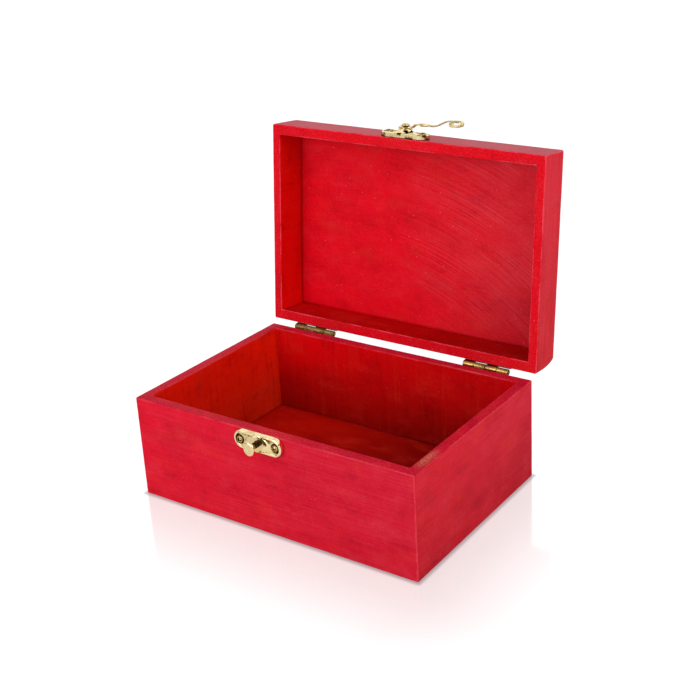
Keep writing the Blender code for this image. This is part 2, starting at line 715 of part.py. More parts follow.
def hook_stations():
    """Sheet centreline as (s, height, slope angle, half width) from the eye to the curled tip."""
    middle = HOOK_BASE + HOOK_SHEET / 2
    stations = []
    places = [-EYE_RADIUS * math.cos(math.radians(a)) for a in (8, 20, 35, 50, 65, 80)]
    count = 44
    places += [ARM_BEND_START * (i + 0.5) / count for i in range(count)]
    places += [ARM_BEND_START + (ARM_BEND_END - ARM_BEND_START) * i / 12 for i in range(13)]
    for s in places:
        step, step_slope = ramp(s, JOG_START, JOG_END, HOOK_JOG)
        rise, rise_slope = ramp(s, ARM_BEND_START, ARM_BEND_END, ARM_BEND_RISE)
        stations.append((s, middle + step + rise, step_slope + rise_slope, hook_half_width(s)))
    top = middle + HOOK_JOG + ARM_BEND_RISE
    turn = TAB_END - FOLD_RADIUS - HOOK_SHEET / 2
    stations.append((turn, top, 0.0, TAB_HALF_WIDTH))
    for i in range(1, 9):
        a = math.pi * i / 8
        s = turn + FOLD_RADIUS * math.sin(a)
        stations.append((s, top - FOLD_RADIUS * (1 - math.cos(a)), -a, TAB_HALF_WIDTH))
    return stations


def sheet_section(s, height, angle, half_width):
    """Chamfered rectangle across the sheet at one station."""
    half = HOOK_SHEET / 2
    c = HOOK_CHAMFER
    ring = [(half_width - c, -half), (half_width, -half + c), (half_width, half - c),
            (half_width - c, half), (-half_width + c, half), (-half_width, half - c),
            (-half_width, -half + c), (-half_width + c, -half)]
    return [(s - n * math.sin(angle), v, height + n * math.cos(angle)) for v, n in ring]


def make_hook(lid_axis):
    hook_axis = bpy.data.objects.new("hook_axis", None)
    bpy.context.scene.collection.objects.link(hook_axis)
    hook_axis.parent = lid_axis
    pivot = front_frame(PIVOT_X, PIVOT_LEVEL)
    hook_axis.matrix_local = Matrix.Translation(-HINGE_AXIS) @ pivot
    hook_axis["closed_place"] = (0.0, 0.0, 0.0)

    stations = hook_stations()
    last = stations[-1]
    level = last[1]
    back = last[0] - FOLD_RETURN
    stations.append((back, level, -math.pi, TAB_HALF_WIDTH))
    for i in range(1, 7):
        a = math.radians(CURL_ANGLE) * i / 6
        s = back - CURL_RADIUS * math.sin(a)
        height = level + CURL_RADIUS * (1 - math.cos(a))
        stations.append((s, height, -math.pi - a, TAB_HALF_WIDTH))
    hook = place("latch_hook", loft([sheet_section(*station) for station in stations]), hook_axis)

    bore = RIVET_RADIUS + RUNNING_GAP
    hole = turned([(BOSS_TOP, bore), (HEAD_BASE, bore)], MEDIUM)
    hole = guide(place("hook_bore", hole, hook_axis))

    # The mouth follows an arc about the rivet, open on the side that leads as the hook swings down
    near = MOUTH_REACH - MOUTH_HALF_WIDTH
    far = MOUTH_REACH + MOUTH_HALF_WIDTH
    outline = arc((0.0, 0.0), near, near, -MOUTH_SWEEP, 0.0, COARSE)
    outline += arc((MOUTH_REACH, 0.0), MOUTH_HALF_WIDTH, MOUTH_HALF_WIDTH, 180.0, 0.0, COARSE)[1:-1]
    outline += arc((0.0, 0.0), far, far, 0.0, -MOUTH_SWEEP, COARSE)
    slot = guide(place("hook_mouth", prism(outline, BOSS_TOP, HEAD_BASE), hook_axis))
    cut(hook, hole, slot)
    brass(shade_round(hook), POLISHED_BRASS, 0.2)


def main():
    clear_scene()
    lid_axis = bpy.data.objects.new("lid_axis", None)
    bpy.context.scene.collection.objects.link(lid_axis)
    lid_axis.location = HINGE_AXIS
    lid_axis.rotation_euler = (-math.radians(OPEN_ANGLE), 0.0, 0.0)
    lid_axis["closed_place"] = tuple(HINGE_AXIS)

    boards = make_box()
    rails = make_lid(lid_axis)
    make_hinges(boards["back"], rails["back"], lid_axis)
    make_catch(boards["front"])
    make_latch_seat(rails["front"], lid_axis)
    make_hook(lid_axis)


main()
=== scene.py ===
import math

import bmesh
import bpy
import numpy as np
from mathutils import Matrix, Vector


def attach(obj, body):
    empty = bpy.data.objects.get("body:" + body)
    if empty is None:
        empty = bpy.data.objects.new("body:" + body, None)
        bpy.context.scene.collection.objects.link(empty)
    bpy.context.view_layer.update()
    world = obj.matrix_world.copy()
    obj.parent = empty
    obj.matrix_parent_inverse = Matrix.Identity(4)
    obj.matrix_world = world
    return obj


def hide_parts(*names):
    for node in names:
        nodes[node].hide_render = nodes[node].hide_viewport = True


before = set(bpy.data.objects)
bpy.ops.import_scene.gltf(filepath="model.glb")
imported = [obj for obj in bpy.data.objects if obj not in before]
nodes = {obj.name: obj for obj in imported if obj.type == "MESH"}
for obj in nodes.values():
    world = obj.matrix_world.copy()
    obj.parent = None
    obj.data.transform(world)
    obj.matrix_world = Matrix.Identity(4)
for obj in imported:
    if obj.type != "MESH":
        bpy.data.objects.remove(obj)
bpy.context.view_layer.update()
print("frame loaded:", len(nodes), "nodes")


# Helpers for surfaces

meshLook = {"weldGap": 1e-6, "sharpAngle": 40}


def clamp(value):
    return np.clip(value, 0, 1)


def ramp(value, start, reach, least=0):
    # 0 at the start to 1 one reach further on; a negative reach runs the other way
    return np.clip((value - start) / reach, least, 1)


def smooth(t):
    return t * t * (3 - 2 * t)


def mixed(first, second, share):
    return first * (1 - share) + second * share


def hill(away, width, power=2):
    # a bell round 0 that falls to 1/e one width away
    return np.exp(-(away / width) ** power)


def arcSpan(start, end, count):
    return np.radians(np.linspace(start, end, count))


def latticeNoise(points, size, seed):
    # Smooth value noise: random numbers on a cubic lattice of the given cell size,
    # blended between the eight corners of a cell with a smoothstep. Gives -1 to 1.
    q = np.asarray(points, float) / size + 1000.0 + 17.3 * seed
    cell = np.floor(q).astype(np.int64)
    t = smooth(q - cell)
    total = np.zeros(q.shape[:-1])
    for corner in np.ndindex(2, 2, 2):
        c = cell + np.array(corner)
        h = (c[..., 0] * 73856093) ^ (c[..., 1] * 19349663) ^ (c[..., 2] * 83492791)
        h = (h ^ (h >> 13)) * 1274126177 & 0x7FFFFFFF
        value = (h % 65536) / 32768.0 - 1.0
        wx, wy, wz = (t[..., i] if corner[i] else 1 - t[..., i] for i in range(3))
        total += value * (wx * wy) * wz
    return total


def flatNoise(u, v, size, seed):
    return latticeNoise(np.stack([u, v, u * 0], -1), size, seed)


def unevenness(points, waves, seed):
    # waves: cell size, height and seed shift of each noise
    return sum(latticeNoise(points, size, seed + shift) * height for size, height, shift in waves)


def gridQuads(rows, cols):
    # Quads between neighbouring rows of a grid stored row by row, each row closed to a ring.
    r = np.arange(rows - 1)[:, None]
    c = np.arange(cols)[None, :]
    d = (c + 1) % cols
    quads = np.stack([r * cols + c, r * cols + d, (r + 1) * cols + d, (r + 1) * cols + c], -1)
    return quads.reshape(-1, 4)


def tubeFaces(rows, cols):
    # Quads round a tube stored ring by ring, and one face over each end.
    ends = [list(range(cols))[::-1], list(range((rows - 1) * cols, rows * cols))]
    return gridQuads(rows, cols).tolist() + ends


def keepWithPoints(mesh, label, kind, field, data):
    layer = mesh.attributes.new(label, kind, "POINT")
    layer.data.foreach_set(field, np.asarray(data, np.float32).ravel())


def makeObject(name, points, faces, values, vectors=None, tones=None, weld=False):
    # One mesh object at the origin, with numbers, vectors and tones kept with its points.
    # Welded: loose points go, those that fall together become one, sharp edges stay sharp.
    mesh = bpy.data.meshes.new(name)
    mesh.from_pydata(points.reshape(-1, 3).tolist(), [], faces)
    for label, data in values.items():
        keepWithPoints(mesh, label, "FLOAT", "value", data)
    for label, data in (vectors or {}).items():
        keepWithPoints(mesh, label, "FLOAT_VECTOR", "vector", data)
    if tones is not None:
        full = np.concatenate([tones.reshape(-1, 3), np.ones((tones.size // 3, 1))], 1)
        keepWithPoints(mesh, "tone", "FLOAT_COLOR", "color", full)
    mesh.validate()
    if weld:
        used = np.empty(len(mesh.loops), np.int32)
        mesh.loops.foreach_get("vertex_index", used)
        bm = bmesh.new()
        bm.from_mesh(mesh)
        bm.verts.ensure_lookup_table()
        loose = [bm.verts[i] for i in np.setdiff1d(np.arange(len(mesh.vertices)), used)]
        bmesh.ops.delete(bm, geom=loose, context="VERTS")
        bmesh.ops.remove_doubles(bm, verts=bm.verts, dist=meshLook["weldGap"])
        bmesh.ops.recalc_face_normals(bm, faces=bm.faces)
        bm.to_mesh(mesh)
        bm.free()
    mesh.polygons.foreach_set("use_smooth", np.ones(len(mesh.polygons), bool))
    if weld:
        mesh.set_sharp_from_angle(angle=math.radians(meshLook["sharpAngle"]))
    mesh.update()
    obj = bpy.data.objects.new(name, mesh)
    bpy.context.scene.collection.objects.link(obj)
    return obj


def finishPiece(obj, node, body, material):
    obj.data.materials.append(material)
    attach(obj, body)
    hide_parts(node)


# Helpers for shader nodes

def setSockets(tree, node, sockets):
    # a socket is linked to the input, anything else becomes the input's own value
    for key, value in sockets.items():
        if isinstance(value, bpy.types.NodeSocket):
            tree.links.new(value, node.inputs[key])
        else:
            node.inputs[key].default_value = value


def addNode(tree, kind, sockets, **settings):
    made = tree.nodes.new(kind)
    for key, value in settings.items():
        setattr(made, key, value)
    setSockets(tree, made, sockets)
    return made


def calc(tree, operation, *values):
    return addNode(tree, "ShaderNodeMath", dict(enumerate(values)), operation=operation).outputs[0]


def mixColours(tree, share, first, second, mode="MIX"):
    made = addNode(tree, "ShaderNodeMix", {0: share, 6: first, 7: second},
                   data_type="RGBA", blend_type=mode)
    return made.outputs[2]


def addUp(tree, sources, parts, total):
    # the total so far, plus each source times its part
    for name, part in parts.items():
        total = calc(tree, "MULTIPLY_ADD", sources[name], part, total)
    return total


def softStep(tree, value, start, end, low=0.0, high=1.0):
    # value between start and end becomes low to high along a smoothstep
    sockets = {0: value, 1: start, 2: end, 3: low, 4: high}
    made = addNode(tree, "ShaderNodeMapRange", sockets, interpolation_type="SMOOTHSTEP")
    return made.outputs[0]


def noiseOf(tree, place, scale, detail, roughness):
    sockets = {"Vector": place, "Scale": scale, "Detail": detail, "Roughness": roughness}
    return addNode(tree, "ShaderNodeTexNoise", sockets).outputs[0]


def noiseSet(tree, given, table):
    # One noise for each row: the input it reads, cells in a metre along x, y and z, detail,
    # roughness, and where it starts.
    made = {}
    for name, (source, scale, detail, roughness, shift) in table.items():
        sockets = {0: given[source], 1: shift, 3: scale}
        place = addNode(tree, "ShaderNodeMapping", sockets).outputs[0]
        made[name] = noiseOf(tree, place, 1.0, detail, roughness)
    return made


def startGroup(name, inputs, outputs):
    # inputs: each name with its number, or with None for a vector and a tuple for a colour
    tree = bpy.data.node_groups.new(name, "ShaderNodeTree")
    kinds = {type(None): "Vector", tuple: "Color", float: "Float"}
    for label, value in inputs.items():
        socket = tree.interface.new_socket(label, in_out="INPUT",
                                           socket_type="NodeSocket" + kinds[type(value)])
        if value is not None:
            socket.default_value = value
    for label in outputs:
        kind = "Color" if label == "Color" else "Float"
        tree.interface.new_socket(label, in_out="OUTPUT", socket_type="NodeSocket" + kind)
    return tree, tree.nodes.new("NodeGroupInput").outputs, tree.nodes.new("NodeGroupOutput")


def useGroup(tree, group, sockets):
    return addNode(tree, "ShaderNodeGroup", sockets, node_tree=group).outputs


def shade(r, g, b):
    # a colour as seen on a screen, 0 to 255, as the linear colour of a shader
    parts = [((c / 255 + 0.055) / 1.055) ** 2.4 if c > 10 else c / 3294.6 for c in (r, g, b)]
    return (*parts, 1.0)


def linear(tone):
    return np.array(shade(*tone)[:3])


# Effects shared by the materials

grey = (0.5, 0.5, 0.5, 1.0)
noShift = (0.0, 0.0, 0.0)
woodNoises = {
    "broad": ("Place", (26, 48, 48), 4.0, 0.6, noShift),
    "patch": ("Place", (60, 95, 95), 4.0, 0.65, (0.3, 0.8, 0.1)),
    "lines": ("Place", (60, 1300, 1300), 3.0, 0.6, noShift),
    "weave": ("Place", (1500, 120, 120), 2.0, 0.6, noShift),
    "fuzz": ("Place", (950, 1250, 1250), 3.0, 0.7, noShift),
    "warm": ("Place", (34, 70, 70), 4.0, 0.65, (0.9, 0.2, 0.5)),
    "stain": ("Brush", (290, 18, 18), 5.0, 0.75, noShift),
    "brush": ("Brush", (1500, 10, 10), 3.0, 0.7, noShift),
    "fade": ("Brush", (60, 30, 30), 3.0, 0.5, noShift),
}
# each tint: noise, where it begins and is full, input that scales it, part, mask, colour or None
# for the pale one, and how it is laid over the colour so far
woodTints = (
    ("broad", 0.46, 0.66, "Cloud", 1.0, None, (0.80, 0.42, 0.72, 1.0), "MULTIPLY"),
    ("patch", 0.53, 0.70, "Cloud", 1.0, None, (0.72, 0.42, 0.70, 1.0), "MULTIPLY"),
    ("patch", 0.52, 0.30, "Cloud", 0.16, "unstained", None, "MIX"),
    ("warm", 0.50, 0.70, "Cloud", 0.45, None, (0.66, 0.030, 0.014, 1.0), "MIX"),
    ("stain", 0.50, 0.70, "Stains", 1.0, "inPatches", (0.66, 0.50, 0.60, 1.0), "MULTIPLY"),
    ("stain", 0.46, 0.30, "Stains", 0.30, None, (0.60, 0.036, 0.004, 1.0), "MIX"),
    ("lines", 0.46, 0.72, "Lines", 1.0, None, (0.80, 0.50, 0.66, 1.0), "MULTIPLY"),
    ("weave", 0.46, 0.68, "Lines", 1.0, None, (0.86, 0.60, 0.74, 1.0), "MULTIPLY"),
    ("fuzz", 0.42, 0.66, "Fuzz", 1.0, None, (0.68, 0.36, 0.52, 1.0), "MULTIPLY"),
    ("fuzz", 0.50, 0.28, "Fuzz", 0.30, None, None, "MIX"),
    ("brush", 0.42, 0.64, "Strokes", 1.0, "fading", None, "MIX"),
)
# where a mask begins and is full, and its values there
woodMasks = {"inPatches": ("patch", 0.38, 0.62, 0.25, 1.0),
             "fading": ("fade", 0.30, 0.60, 0.2, 1.0)}
stainedLess = -1.5      # how fast the stains take away the pale patches
woodSpecks = {"scale": 330.0, "edge": (0.07, 0.15), "rarity": (0.82, 0.88)}
woodRough = {"least": 0.38, "parts": {"broad": 0.20, "fuzz": 0.12, "strokes": -0.12}}
woodRelief = {"fuzz": 0.8, "lines": 0.5, "strokes": 1.2, "specks": 1.0}


def makeWoodGroup():
    # Stain on close-grained board. Cloud: broad noises deepen, lighten and warm it. Lines: noise
    # drawn out along the board and across it. Fuzz: fine noise. Strokes and stains: fine and
    # coarse noise drawn out along the brush. Specks: a few Voronoi cells.
    tree, given, out = startGroup("stainedGrain", {
        "Place": None, "Brush": None, "Base": grey, "Pale": grey, "Cloud": 0.5, "Lines": 0.3,
        "Fuzz": 0.3, "Strokes": 0.0, "Stains": 0.0, "Specks": 0.3},
        ("Color", "Roughness", "Height"))
    noises = noiseSet(tree, given, woodNoises)
    stained = calc(tree, "MULTIPLY_ADD", given["Stains"], stainedLess, 1.0)
    masks = {name: softStep(tree, noises[noise], *steps)
             for name, (noise, *steps) in woodMasks.items()}
    masks["unstained"] = calc(tree, "MAXIMUM", stained, 0.0)
    colour = given["Base"]
    for noise, start, end, amount, part, mask, tint, mode in woodTints:
        share = calc(tree, "MULTIPLY", softStep(tree, noises[noise], start, end), given[amount])
        if mask:
            share = calc(tree, "MULTIPLY", share, masks[mask])
        if part != 1.0:
            share = calc(tree, "MULTIPLY", share, part)
        colour = mixColours(tree, share, colour, tint or given["Pale"], mode)
    cells = addNode(tree, "ShaderNodeTexVoronoi",
                    {"Vector": given["Place"], "Scale": woodSpecks["scale"]}).outputs
    chance = addNode(tree, "ShaderNodeSeparateColor", {0: cells["Color"]}).outputs[0]
    speck = calc(tree, "MULTIPLY", softStep(tree, cells["Distance"], *woodSpecks["edge"], 1.0, 0.0),
                 softStep(tree, chance, *woodSpecks["rarity"]))
    speck = calc(tree, "MULTIPLY", speck, given["Specks"])
    colour = mixColours(tree, speck, colour, given["Pale"])

    # the last tint laid is that of the strokes
    sources = {**noises, "strokes": share, "specks": speck}
    setSockets(tree, out, {
        "Color": colour, "Roughness": addUp(tree, sources, woodRough["parts"], woodRough["least"]),
        "Height": addUp(tree, sources, woodRelief, 0.0)})
    return tree


wearAndGlintNoises = {
    "broad": ("Place", (70, 250, 250), 3.0, 0.6, noShift),
    "fine": ("Place", (1100, 1600, 1600), 2.0, 0.6, noShift),
}
wearAndGlintSteps = {"reach": (0.36, 0.66, 0.35, 1.4), "ragged": (1.6, -0.8), "fade": (0.2, 1.0, 1.0, 0.0)}


def makeWearAndGlintGroup():
    # Rubbed edges, with a painted edge highlight: strong at the edge itself, broken up along it
    # by two sizes of noise.
    tree, given, out = startGroup("rubbedEdgeAndGlint", {
        "Place": None, "Distance": 1.0, "Width": 0.0012, "Amount": 0.6}, ("Mask",))
    noises = noiseSet(tree, given, wearAndGlintNoises)
    reach = calc(tree, "MULTIPLY", given["Width"],
                 softStep(tree, noises["broad"], *wearAndGlintSteps["reach"]))
    share = calc(tree, "ADD", calc(tree, "DIVIDE", given["Distance"], reach),
                 calc(tree, "MULTIPLY_ADD", noises["fine"], *wearAndGlintSteps["ragged"]))
    mask = softStep(tree, share, *wearAndGlintSteps["fade"])
    setSockets(tree, out, {"Mask": calc(tree, "MULTIPLY", mask, given["Amount"])})
    return tree


metalNoises = {
    "cloud": ("Place", (240, 240, 240), 4.0, 0.65, noShift),
    "rubs": ("Place", (300, 4200, 4200), 2.0, 0.6, noShift),
    "pits": ("Place", (2600, 2600, 2600), 2.0, 0.5, noShift),
    "stipple": ("Place", (1500, 1500, 1500), 2.0, 0.6, noShift),
}
metalSteps = {"cloud": (0.40, 0.66), "pits": (0.60, 0.72), "stipple": (0.34, 0.60, 0.35, 1.0),
              "black": (0.9, 1.8)}
metalRough = {"grimeAndShade": 0.32, "rubs": 0.08}
metalRelief = {"pits": 0.4, "rubs": 0.4, "cloud": 1.4, "stipple": 0.5}
paintedBlack = (0.012, 0.006, 0.003, 1.0)


def makeMetalGroup():
    # Brass plate: cloudy tarnish, fine rubbing lines, small pits, and grime with painted shade
    # where the value kept with a point says so, broken up by fine noise; past 1 the value stands
    # for painted black: shade in hollows and under parts, and dark reflections.
    tree, given, out = startGroup("platedBrass", {
        "Place": None, "Bright": grey, "Tarnish": grey, "GrimeAndShade": 0.0, "Spread": 0.3, "Gloss": 0.2},
        ("Color", "Roughness", "Height"))
    noises = noiseSet(tree, given, metalNoises)
    clouds, pitted, grimeAndShade = (
        calc(tree, "MULTIPLY", given[source], softStep(tree, noises[noise], *metalSteps[noise]))
        for source, noise in (("Spread", "cloud"), ("Spread", "pits"), ("GrimeAndShade", "stipple")))
    share = calc(tree, "MAXIMUM", calc(tree, "ADD", clouds, pitted), grimeAndShade)
    share = calc(tree, "MINIMUM", share, 1.0)
    colour = mixColours(tree, share, given["Bright"], given["Tarnish"])
    # past 1: painted black for shade and dark reflections
    black = softStep(tree, given["GrimeAndShade"], *metalSteps["black"])
    colour = mixColours(tree, black, colour, paintedBlack)
    rough = addUp(tree, {"grimeAndShade": share, **noises}, metalRough, given["Gloss"])
    setSockets(tree, out, {"Color": colour, "Roughness": rough,
                           "Height": addUp(tree, noises, metalRelief, 0.0)})
    return tree


woodGroup = makeWoodGroup()
wearAndGlintGroup = makeWearAndGlintGroup()
metalGroup = makeMetalGroup()
print("effect groups built")


# Materials

bumpDepth = 0.0001


def readPoint(tree, label, output="Fac"):
    return addNode(tree, "ShaderNodeAttribute", {}, attribute_name=label).outputs[output]


def startMaterial(name, settings):
    made = bpy.data.materials.new(name)
    made.use_nodes = True
    shader = made.node_tree.nodes["Principled BSDF"]
    setSockets(made.node_tree, shader, settings)
    return made, made.node_tree, shader


def finishMaterial(tree, shader, colour, surface, strength):
    relief = addNode(tree, "ShaderNodeBump", {"Strength": strength, "Distance": bumpDepth,
                                              "Height": surface["Height"]})
    setSockets(tree, shader, {"Base Color": colour, "Roughness": surface["Roughness"],
                              "Normal": relief.outputs[0]})


woodGloss = {"Specular IOR Level": 0.05, "IOR": 1.5}
bareNoise = {"scale": 900.0, "detail": 3.0, "roughness": 0.6, "from": 0.34, "full": 0.60}
rimLines = 0.2      # part of the grain lines that is left on sawn rims
wearAndGlintWidth = 0.0006
coatRough = 0.5


def makeWood(name, look):
    # Stained board: tones, rim, edges and bare spots come from the values kept with each point.
    # The worn edges carry a painted edge highlight; on the lid the bare colour is near black and
    # paints the shade in the panel's slit.
    made, tree, shader = startMaterial(name, woodGloss)
    place, rim = readPoint(tree, "grainPlace", "Vector"), readPoint(tree, "rim")

    def towardsRim(face, sawn):
        return calc(tree, "MULTIPLY_ADD", rim, sawn - face, face)

    grain = useGroup(tree, woodGroup, {
        "Place": place, "Brush": readPoint(tree, "brushPlace", "Vector"),
        "Base": readPoint(tree, "tone", "Color"), "Pale": look["pale"], "Cloud": look["cloud"],
        "Lines": towardsRim(look["lines"], look["lines"] * rimLines),
        "Fuzz": towardsRim(look["fuzz"], look["rimFuzz"]), "Specks": look["specks"],
        "Strokes": calc(tree, "MULTIPLY", readPoint(tree, "brushed"), look["strokes"]),
        "Stains": calc(tree, "MULTIPLY", readPoint(tree, "stained"), look["stains"])})
    wearAndGlint = useGroup(tree, wearAndGlintGroup, {
        "Place": place, "Distance": readPoint(tree, "edgeDistance"), "Width": wearAndGlintWidth,
        "Amount": look["wearAndGlint"]})
    # pale worn edges: worn stain and a painted edge highlight
    colour = mixColours(tree, wearAndGlint["Mask"], grain["Color"], look["worn"])
    b = bareNoise
    spots = softStep(tree, noiseOf(tree, place, b["scale"], b["detail"], b["roughness"]),
                     b["from"], b["full"])
    bareAndSlitShade = calc(tree, "MULTIPLY", readPoint(tree, "bareAndSlitShade"), spots)
    colour = mixColours(tree, bareAndSlitShade, colour, look["bareWoodAndSlitShade"])
    finishMaterial(tree, shader, colour, grain, look["bump"])
    if "lacquer" in look:
        # a thin coat on the broad faces, none on the sawn rim
        setSockets(tree, shader, {"Coat Roughness": coatRough,
                                  "Coat Weight": towardsRim(look["lacquer"], 0.0)})
    return made


def makeBrass(name, look):
    made, tree, shader = startMaterial(name, {"Metallic": 1.0})
    plate = useGroup(tree, metalGroup, {
        "Place": addNode(tree, "ShaderNodeTexCoord", {}).outputs["Object"],
        "Bright": look["bright"], "Tarnish": look["tarnish"], "Spread": look["spread"],
        "Gloss": look["gloss"], "GrimeAndShade": readPoint(tree, "grimeAndShade")})
    finishMaterial(tree, shader, plate["Color"], plate, look["bump"])
    return made


boxWood = makeWood("boxWood", {
    "pale": shade(232, 92, 108), "worn": shade(236, 84, 98), "bareWoodAndSlitShade": shade(184, 116, 92),
    "cloud": 0.60, "lines": 0.20, "fuzz": 0.18, "rimFuzz": 0.66, "strokes": 0.14, "stains": 0.90,
    "specks": 0.30, "wearAndGlint": 0.34, "bump": 0.30})
# the lid's near black bare colour paints the shade in the panel's slit
lidLook = {
    "pale": shade(232, 84, 96), "worn": shade(240, 90, 106), "bareWoodAndSlitShade": shade(60, 8, 8),
    "cloud": 0.50, "lines": 0.34, "fuzz": 0.26, "rimFuzz": 0.72, "strokes": 0.46, "stains": 0.40,
    "specks": 0.80, "wearAndGlint": 0.55, "bump": 0.36}
lidWood = makeWood("lidWood", lidLook)
lidFrontWood = makeWood("lidFrontWood", {
    **lidLook, "lines": 0.30, "fuzz": 0.24, "rimFuzz": 0.66, "strokes": 0.34, "specks": 0.60,
    "bump": 0.32, "lacquer": 0.42})
floorWood = makeWood("floorWood", {
    "pale": shade(196, 50, 36), "worn": shade(170, 20, 20), "bareWoodAndSlitShade": shade(50, 6, 4),
    "cloud": 0.55, "lines": 0.34, "fuzz": 0.16, "rimFuzz": 0.16, "strokes": 0.0, "stains": 0.0,
    "specks": 0.10, "wearAndGlint": 0.1, "bump": 0.30})
brightBrass = makeBrass("brightBrass", {
    "bright": shade(254, 234, 180), "tarnish": shade(150, 106, 42), "spread": 0.14,
    "gloss": 0.07, "bump": 0.14})
hookBrass = makeBrass("hookBrass", {
    "bright": shade(254, 232, 168), "tarnish": shade(84, 58, 18), "spread": 0.80,
    "gloss": 0.07, "bump": 0.20})
hingeBrass = makeBrass("hingeBrass", {
    "bright": shade(212, 176, 104), "tarnish": shade(92, 60, 20), "spread": 0.60,
    "gloss": 0.14, "bump": 0.30})
dullBrass = makeBrass("dullBrass", {
    "bright": shade(176, 148, 92), "tarnish": shade(92, 66, 34), "spread": 0.75,
    "gloss": 0.32, "bump": 0.35})
agedBrass = makeBrass("agedBrass", {
    "bright": shade(232, 200, 132), "tarnish": shade(84, 56, 24), "spread": 0.40,
    "gloss": 0.14, "bump": 0.24})
print("materials built")


# Wooden boards

boxShape = {
    "width": 0.180, "depth": 0.121, "low": 0.0, "high": 0.059, "endWall": 0.0063,
    "sideWall": 0.0063, "cornerRound": 0.0008, "innerRound": 0.0002, "edgeRound": 0.0005,
    "step": 0.0016, "topRounds": {},
    # inner faces darker towards the floor, painted shade deep in the box; the left board's inner
    # face paler than the rest, painted light
    "rim": (194, 18, 44), "innerHigh": (214, 1, 8), "innerLow": (150, 8, 1),
    "leftHigh": (234, 26, 1), "leftLow": (196, 32, 1),
    # outer faces at both upper ends and both lower ends, from the left or front to the other end
    "front": ((218, 8, 42), (200, 22, 48), (210, 2, 36), (198, 16, 42)),
    "right": ((214, 20, 42), (212, 26, 48), (190, 10, 30), (192, 14, 36)),
    "back": ((212, 20, 48), (214, 24, 50), (204, 12, 42), (208, 16, 44)),
    "left": ((214, 20, 48), (212, 24, 50), (206, 12, 42), (206, 16, 44)),
    # stain rubbed off the rim: where and how far along the board and across it, and how much
    "bareAndSlitShade": {"right": (-0.043, 0.0085, 0.55, 0.30, 0.9), "back": (-0.047, 0.020, 0.93, 0.07, 0.5)},
}
lidShape = {
    "width": 0.1818, "depth": 0.121, "low": 0.0593, "high": 0.0817, "endWall": 0.0061,
    "sideWall": 0.0053, "cornerRound": 0.0009, "innerRound": 0.0002, "edgeRound": 0.0005,
    "step": 0.0016,
    # depth and height of the roundings of the outer top edges
    "topRounds": {"right": (0.0020, 0.0020), "back": (0.0054, 0.0155), "left": (0.0020, 0.0020)},
    # inner faces: the left rail's is far paler than the others, painted light
    "rim": (226, 3, 27), "innerHigh": (184, 1, 2), "innerLow": (170, 1, 2),
    "leftHigh": (230, 3, 1), "leftLow": (228, 4, 1),
    "front": ((184, 24, 52), (180, 28, 56), (184, 24, 52), (180, 28, 56)),
    "right": ((220, 34, 52), (204, 20, 34), (220, 34, 52), (204, 20, 34)),
    "back": ((212, 20, 48), (214, 24, 50), (212, 20, 48), (214, 24, 50)),
    "left": ((216, 30, 52), (214, 26, 46), (216, 30, 52), (214, 26, 46)),
    "bareAndSlitShade": {},
}
boardLook = {
    "rimBand": 0.0004, "innerFrom": 0.75, "outerPart": 0.3, "brushed": 0.6,
    "waves": ((0.011, 0.00008, 0), (0.003, 0.00002, 3)),
    "chip": 0.0018, "chipDeep": 0.00007, "chipReach": 0.0010, "grainShift": (0.4, 0.2, 0.1),
    "levelPull": 2.0,       # the boards sink more up or down than across
    # the back's inner face turns paler to the right, the left's is paler at its near end
    "backShade": (0.84, 0.34), "leftShade": (1.0, 0.22, 3.5), "palest": 0.9,
}
# how densely a wall's section is sampled: points on an edge, on a rounding and on the long curve,
# and how far below the top these begin and end
sectionGrid = {"edge": 6, "round": 9, "curve": 14, "wideRound": 0.0020, "narrowRound": 0.0005,
               "curveFrom": 0.0158, "curveTo": 0.0022, "flatTo": 0.0160}
# each board in its turn about the upright, and the boards before and after it
boardEnds = {"front": ("left", "right"), "right": ("front", "back"),
             "back": ("right", "left"), "left": ("back", "front")}
hinge = {"y": 0.0629, "z": 0.05915, "angle": 95.7}


def turnedOpen(points):
    # Closed lid to its place in the photo: a turn about the hinge line by the opening angle.
    a = math.radians(hinge["angle"])
    y = points[..., 1] - hinge["y"]
    z = points[..., 2] - hinge["z"]
    turned = points.copy()
    turned[..., 1] = hinge["y"] + y * math.cos(a) + z * math.sin(a)
    turned[..., 2] = hinge["z"] - y * math.sin(a) + z * math.cos(a)
    return turned


def wallProfile(shape, thick, topRound):
    # Closed section of a wall as distance in from the outer face, and level: outer face upwards,
    # top, inner face downwards, bottom. The outer top edge is a quarter ellipse of the given
    # depth and height, the other edges are quarter circles.
    low, high, step, r = (shape[key] for key in ("low", "high", "step", "edgeRound"))
    grid = sectionGrid
    rise = 1 - np.sin(arcSpan(0, 90, grid["round"]))
    levels = [low + r * (1 - np.cos(arcSpan(0, 90, grid["edge"]))),
              high - grid["wideRound"] * rise, high - grid["narrowRound"] * rise,
              np.arange(low + r + step, high - grid["flatTo"], step),
              np.linspace(high - grid["curveFrom"], high - grid["curveTo"], grid["curve"])]
    outerZ = np.unique(np.round(np.concatenate(levels), 7))
    outer = np.zeros(len(outerZ))
    rounds = ((*topRound, outerZ - (high - topRound[1])), (r, r, low + r - outerZ))
    for depth, height, reach in rounds:
        t = clamp(reach / height)
        outer = outer + depth * (1 - np.sqrt(1 - t * t))
    across = np.linspace(0, 1, grid["edge"])[1:-1]
    top = outer[-1] + (thick - r - outer[-1]) * across
    innerZ = np.arange(high - r - step, low + r + step / 2, -step)
    upper, lower = arcSpan(90, 0, grid["edge"]), arcSpan(0, -90, grid["edge"])
    under = thick - r - (thick - 2 * r) * across
    off = [outer, top, thick - r + r * np.cos(upper), np.full(len(innerZ), thick),
           thick - r + r * np.cos(lower), under]
    z = [outerZ, np.full(len(top), high), high - r + r * np.sin(upper), innerZ,
         low + r + r * np.sin(lower), np.full(len(under), low)]
    return np.concatenate(off), np.concatenate(z)


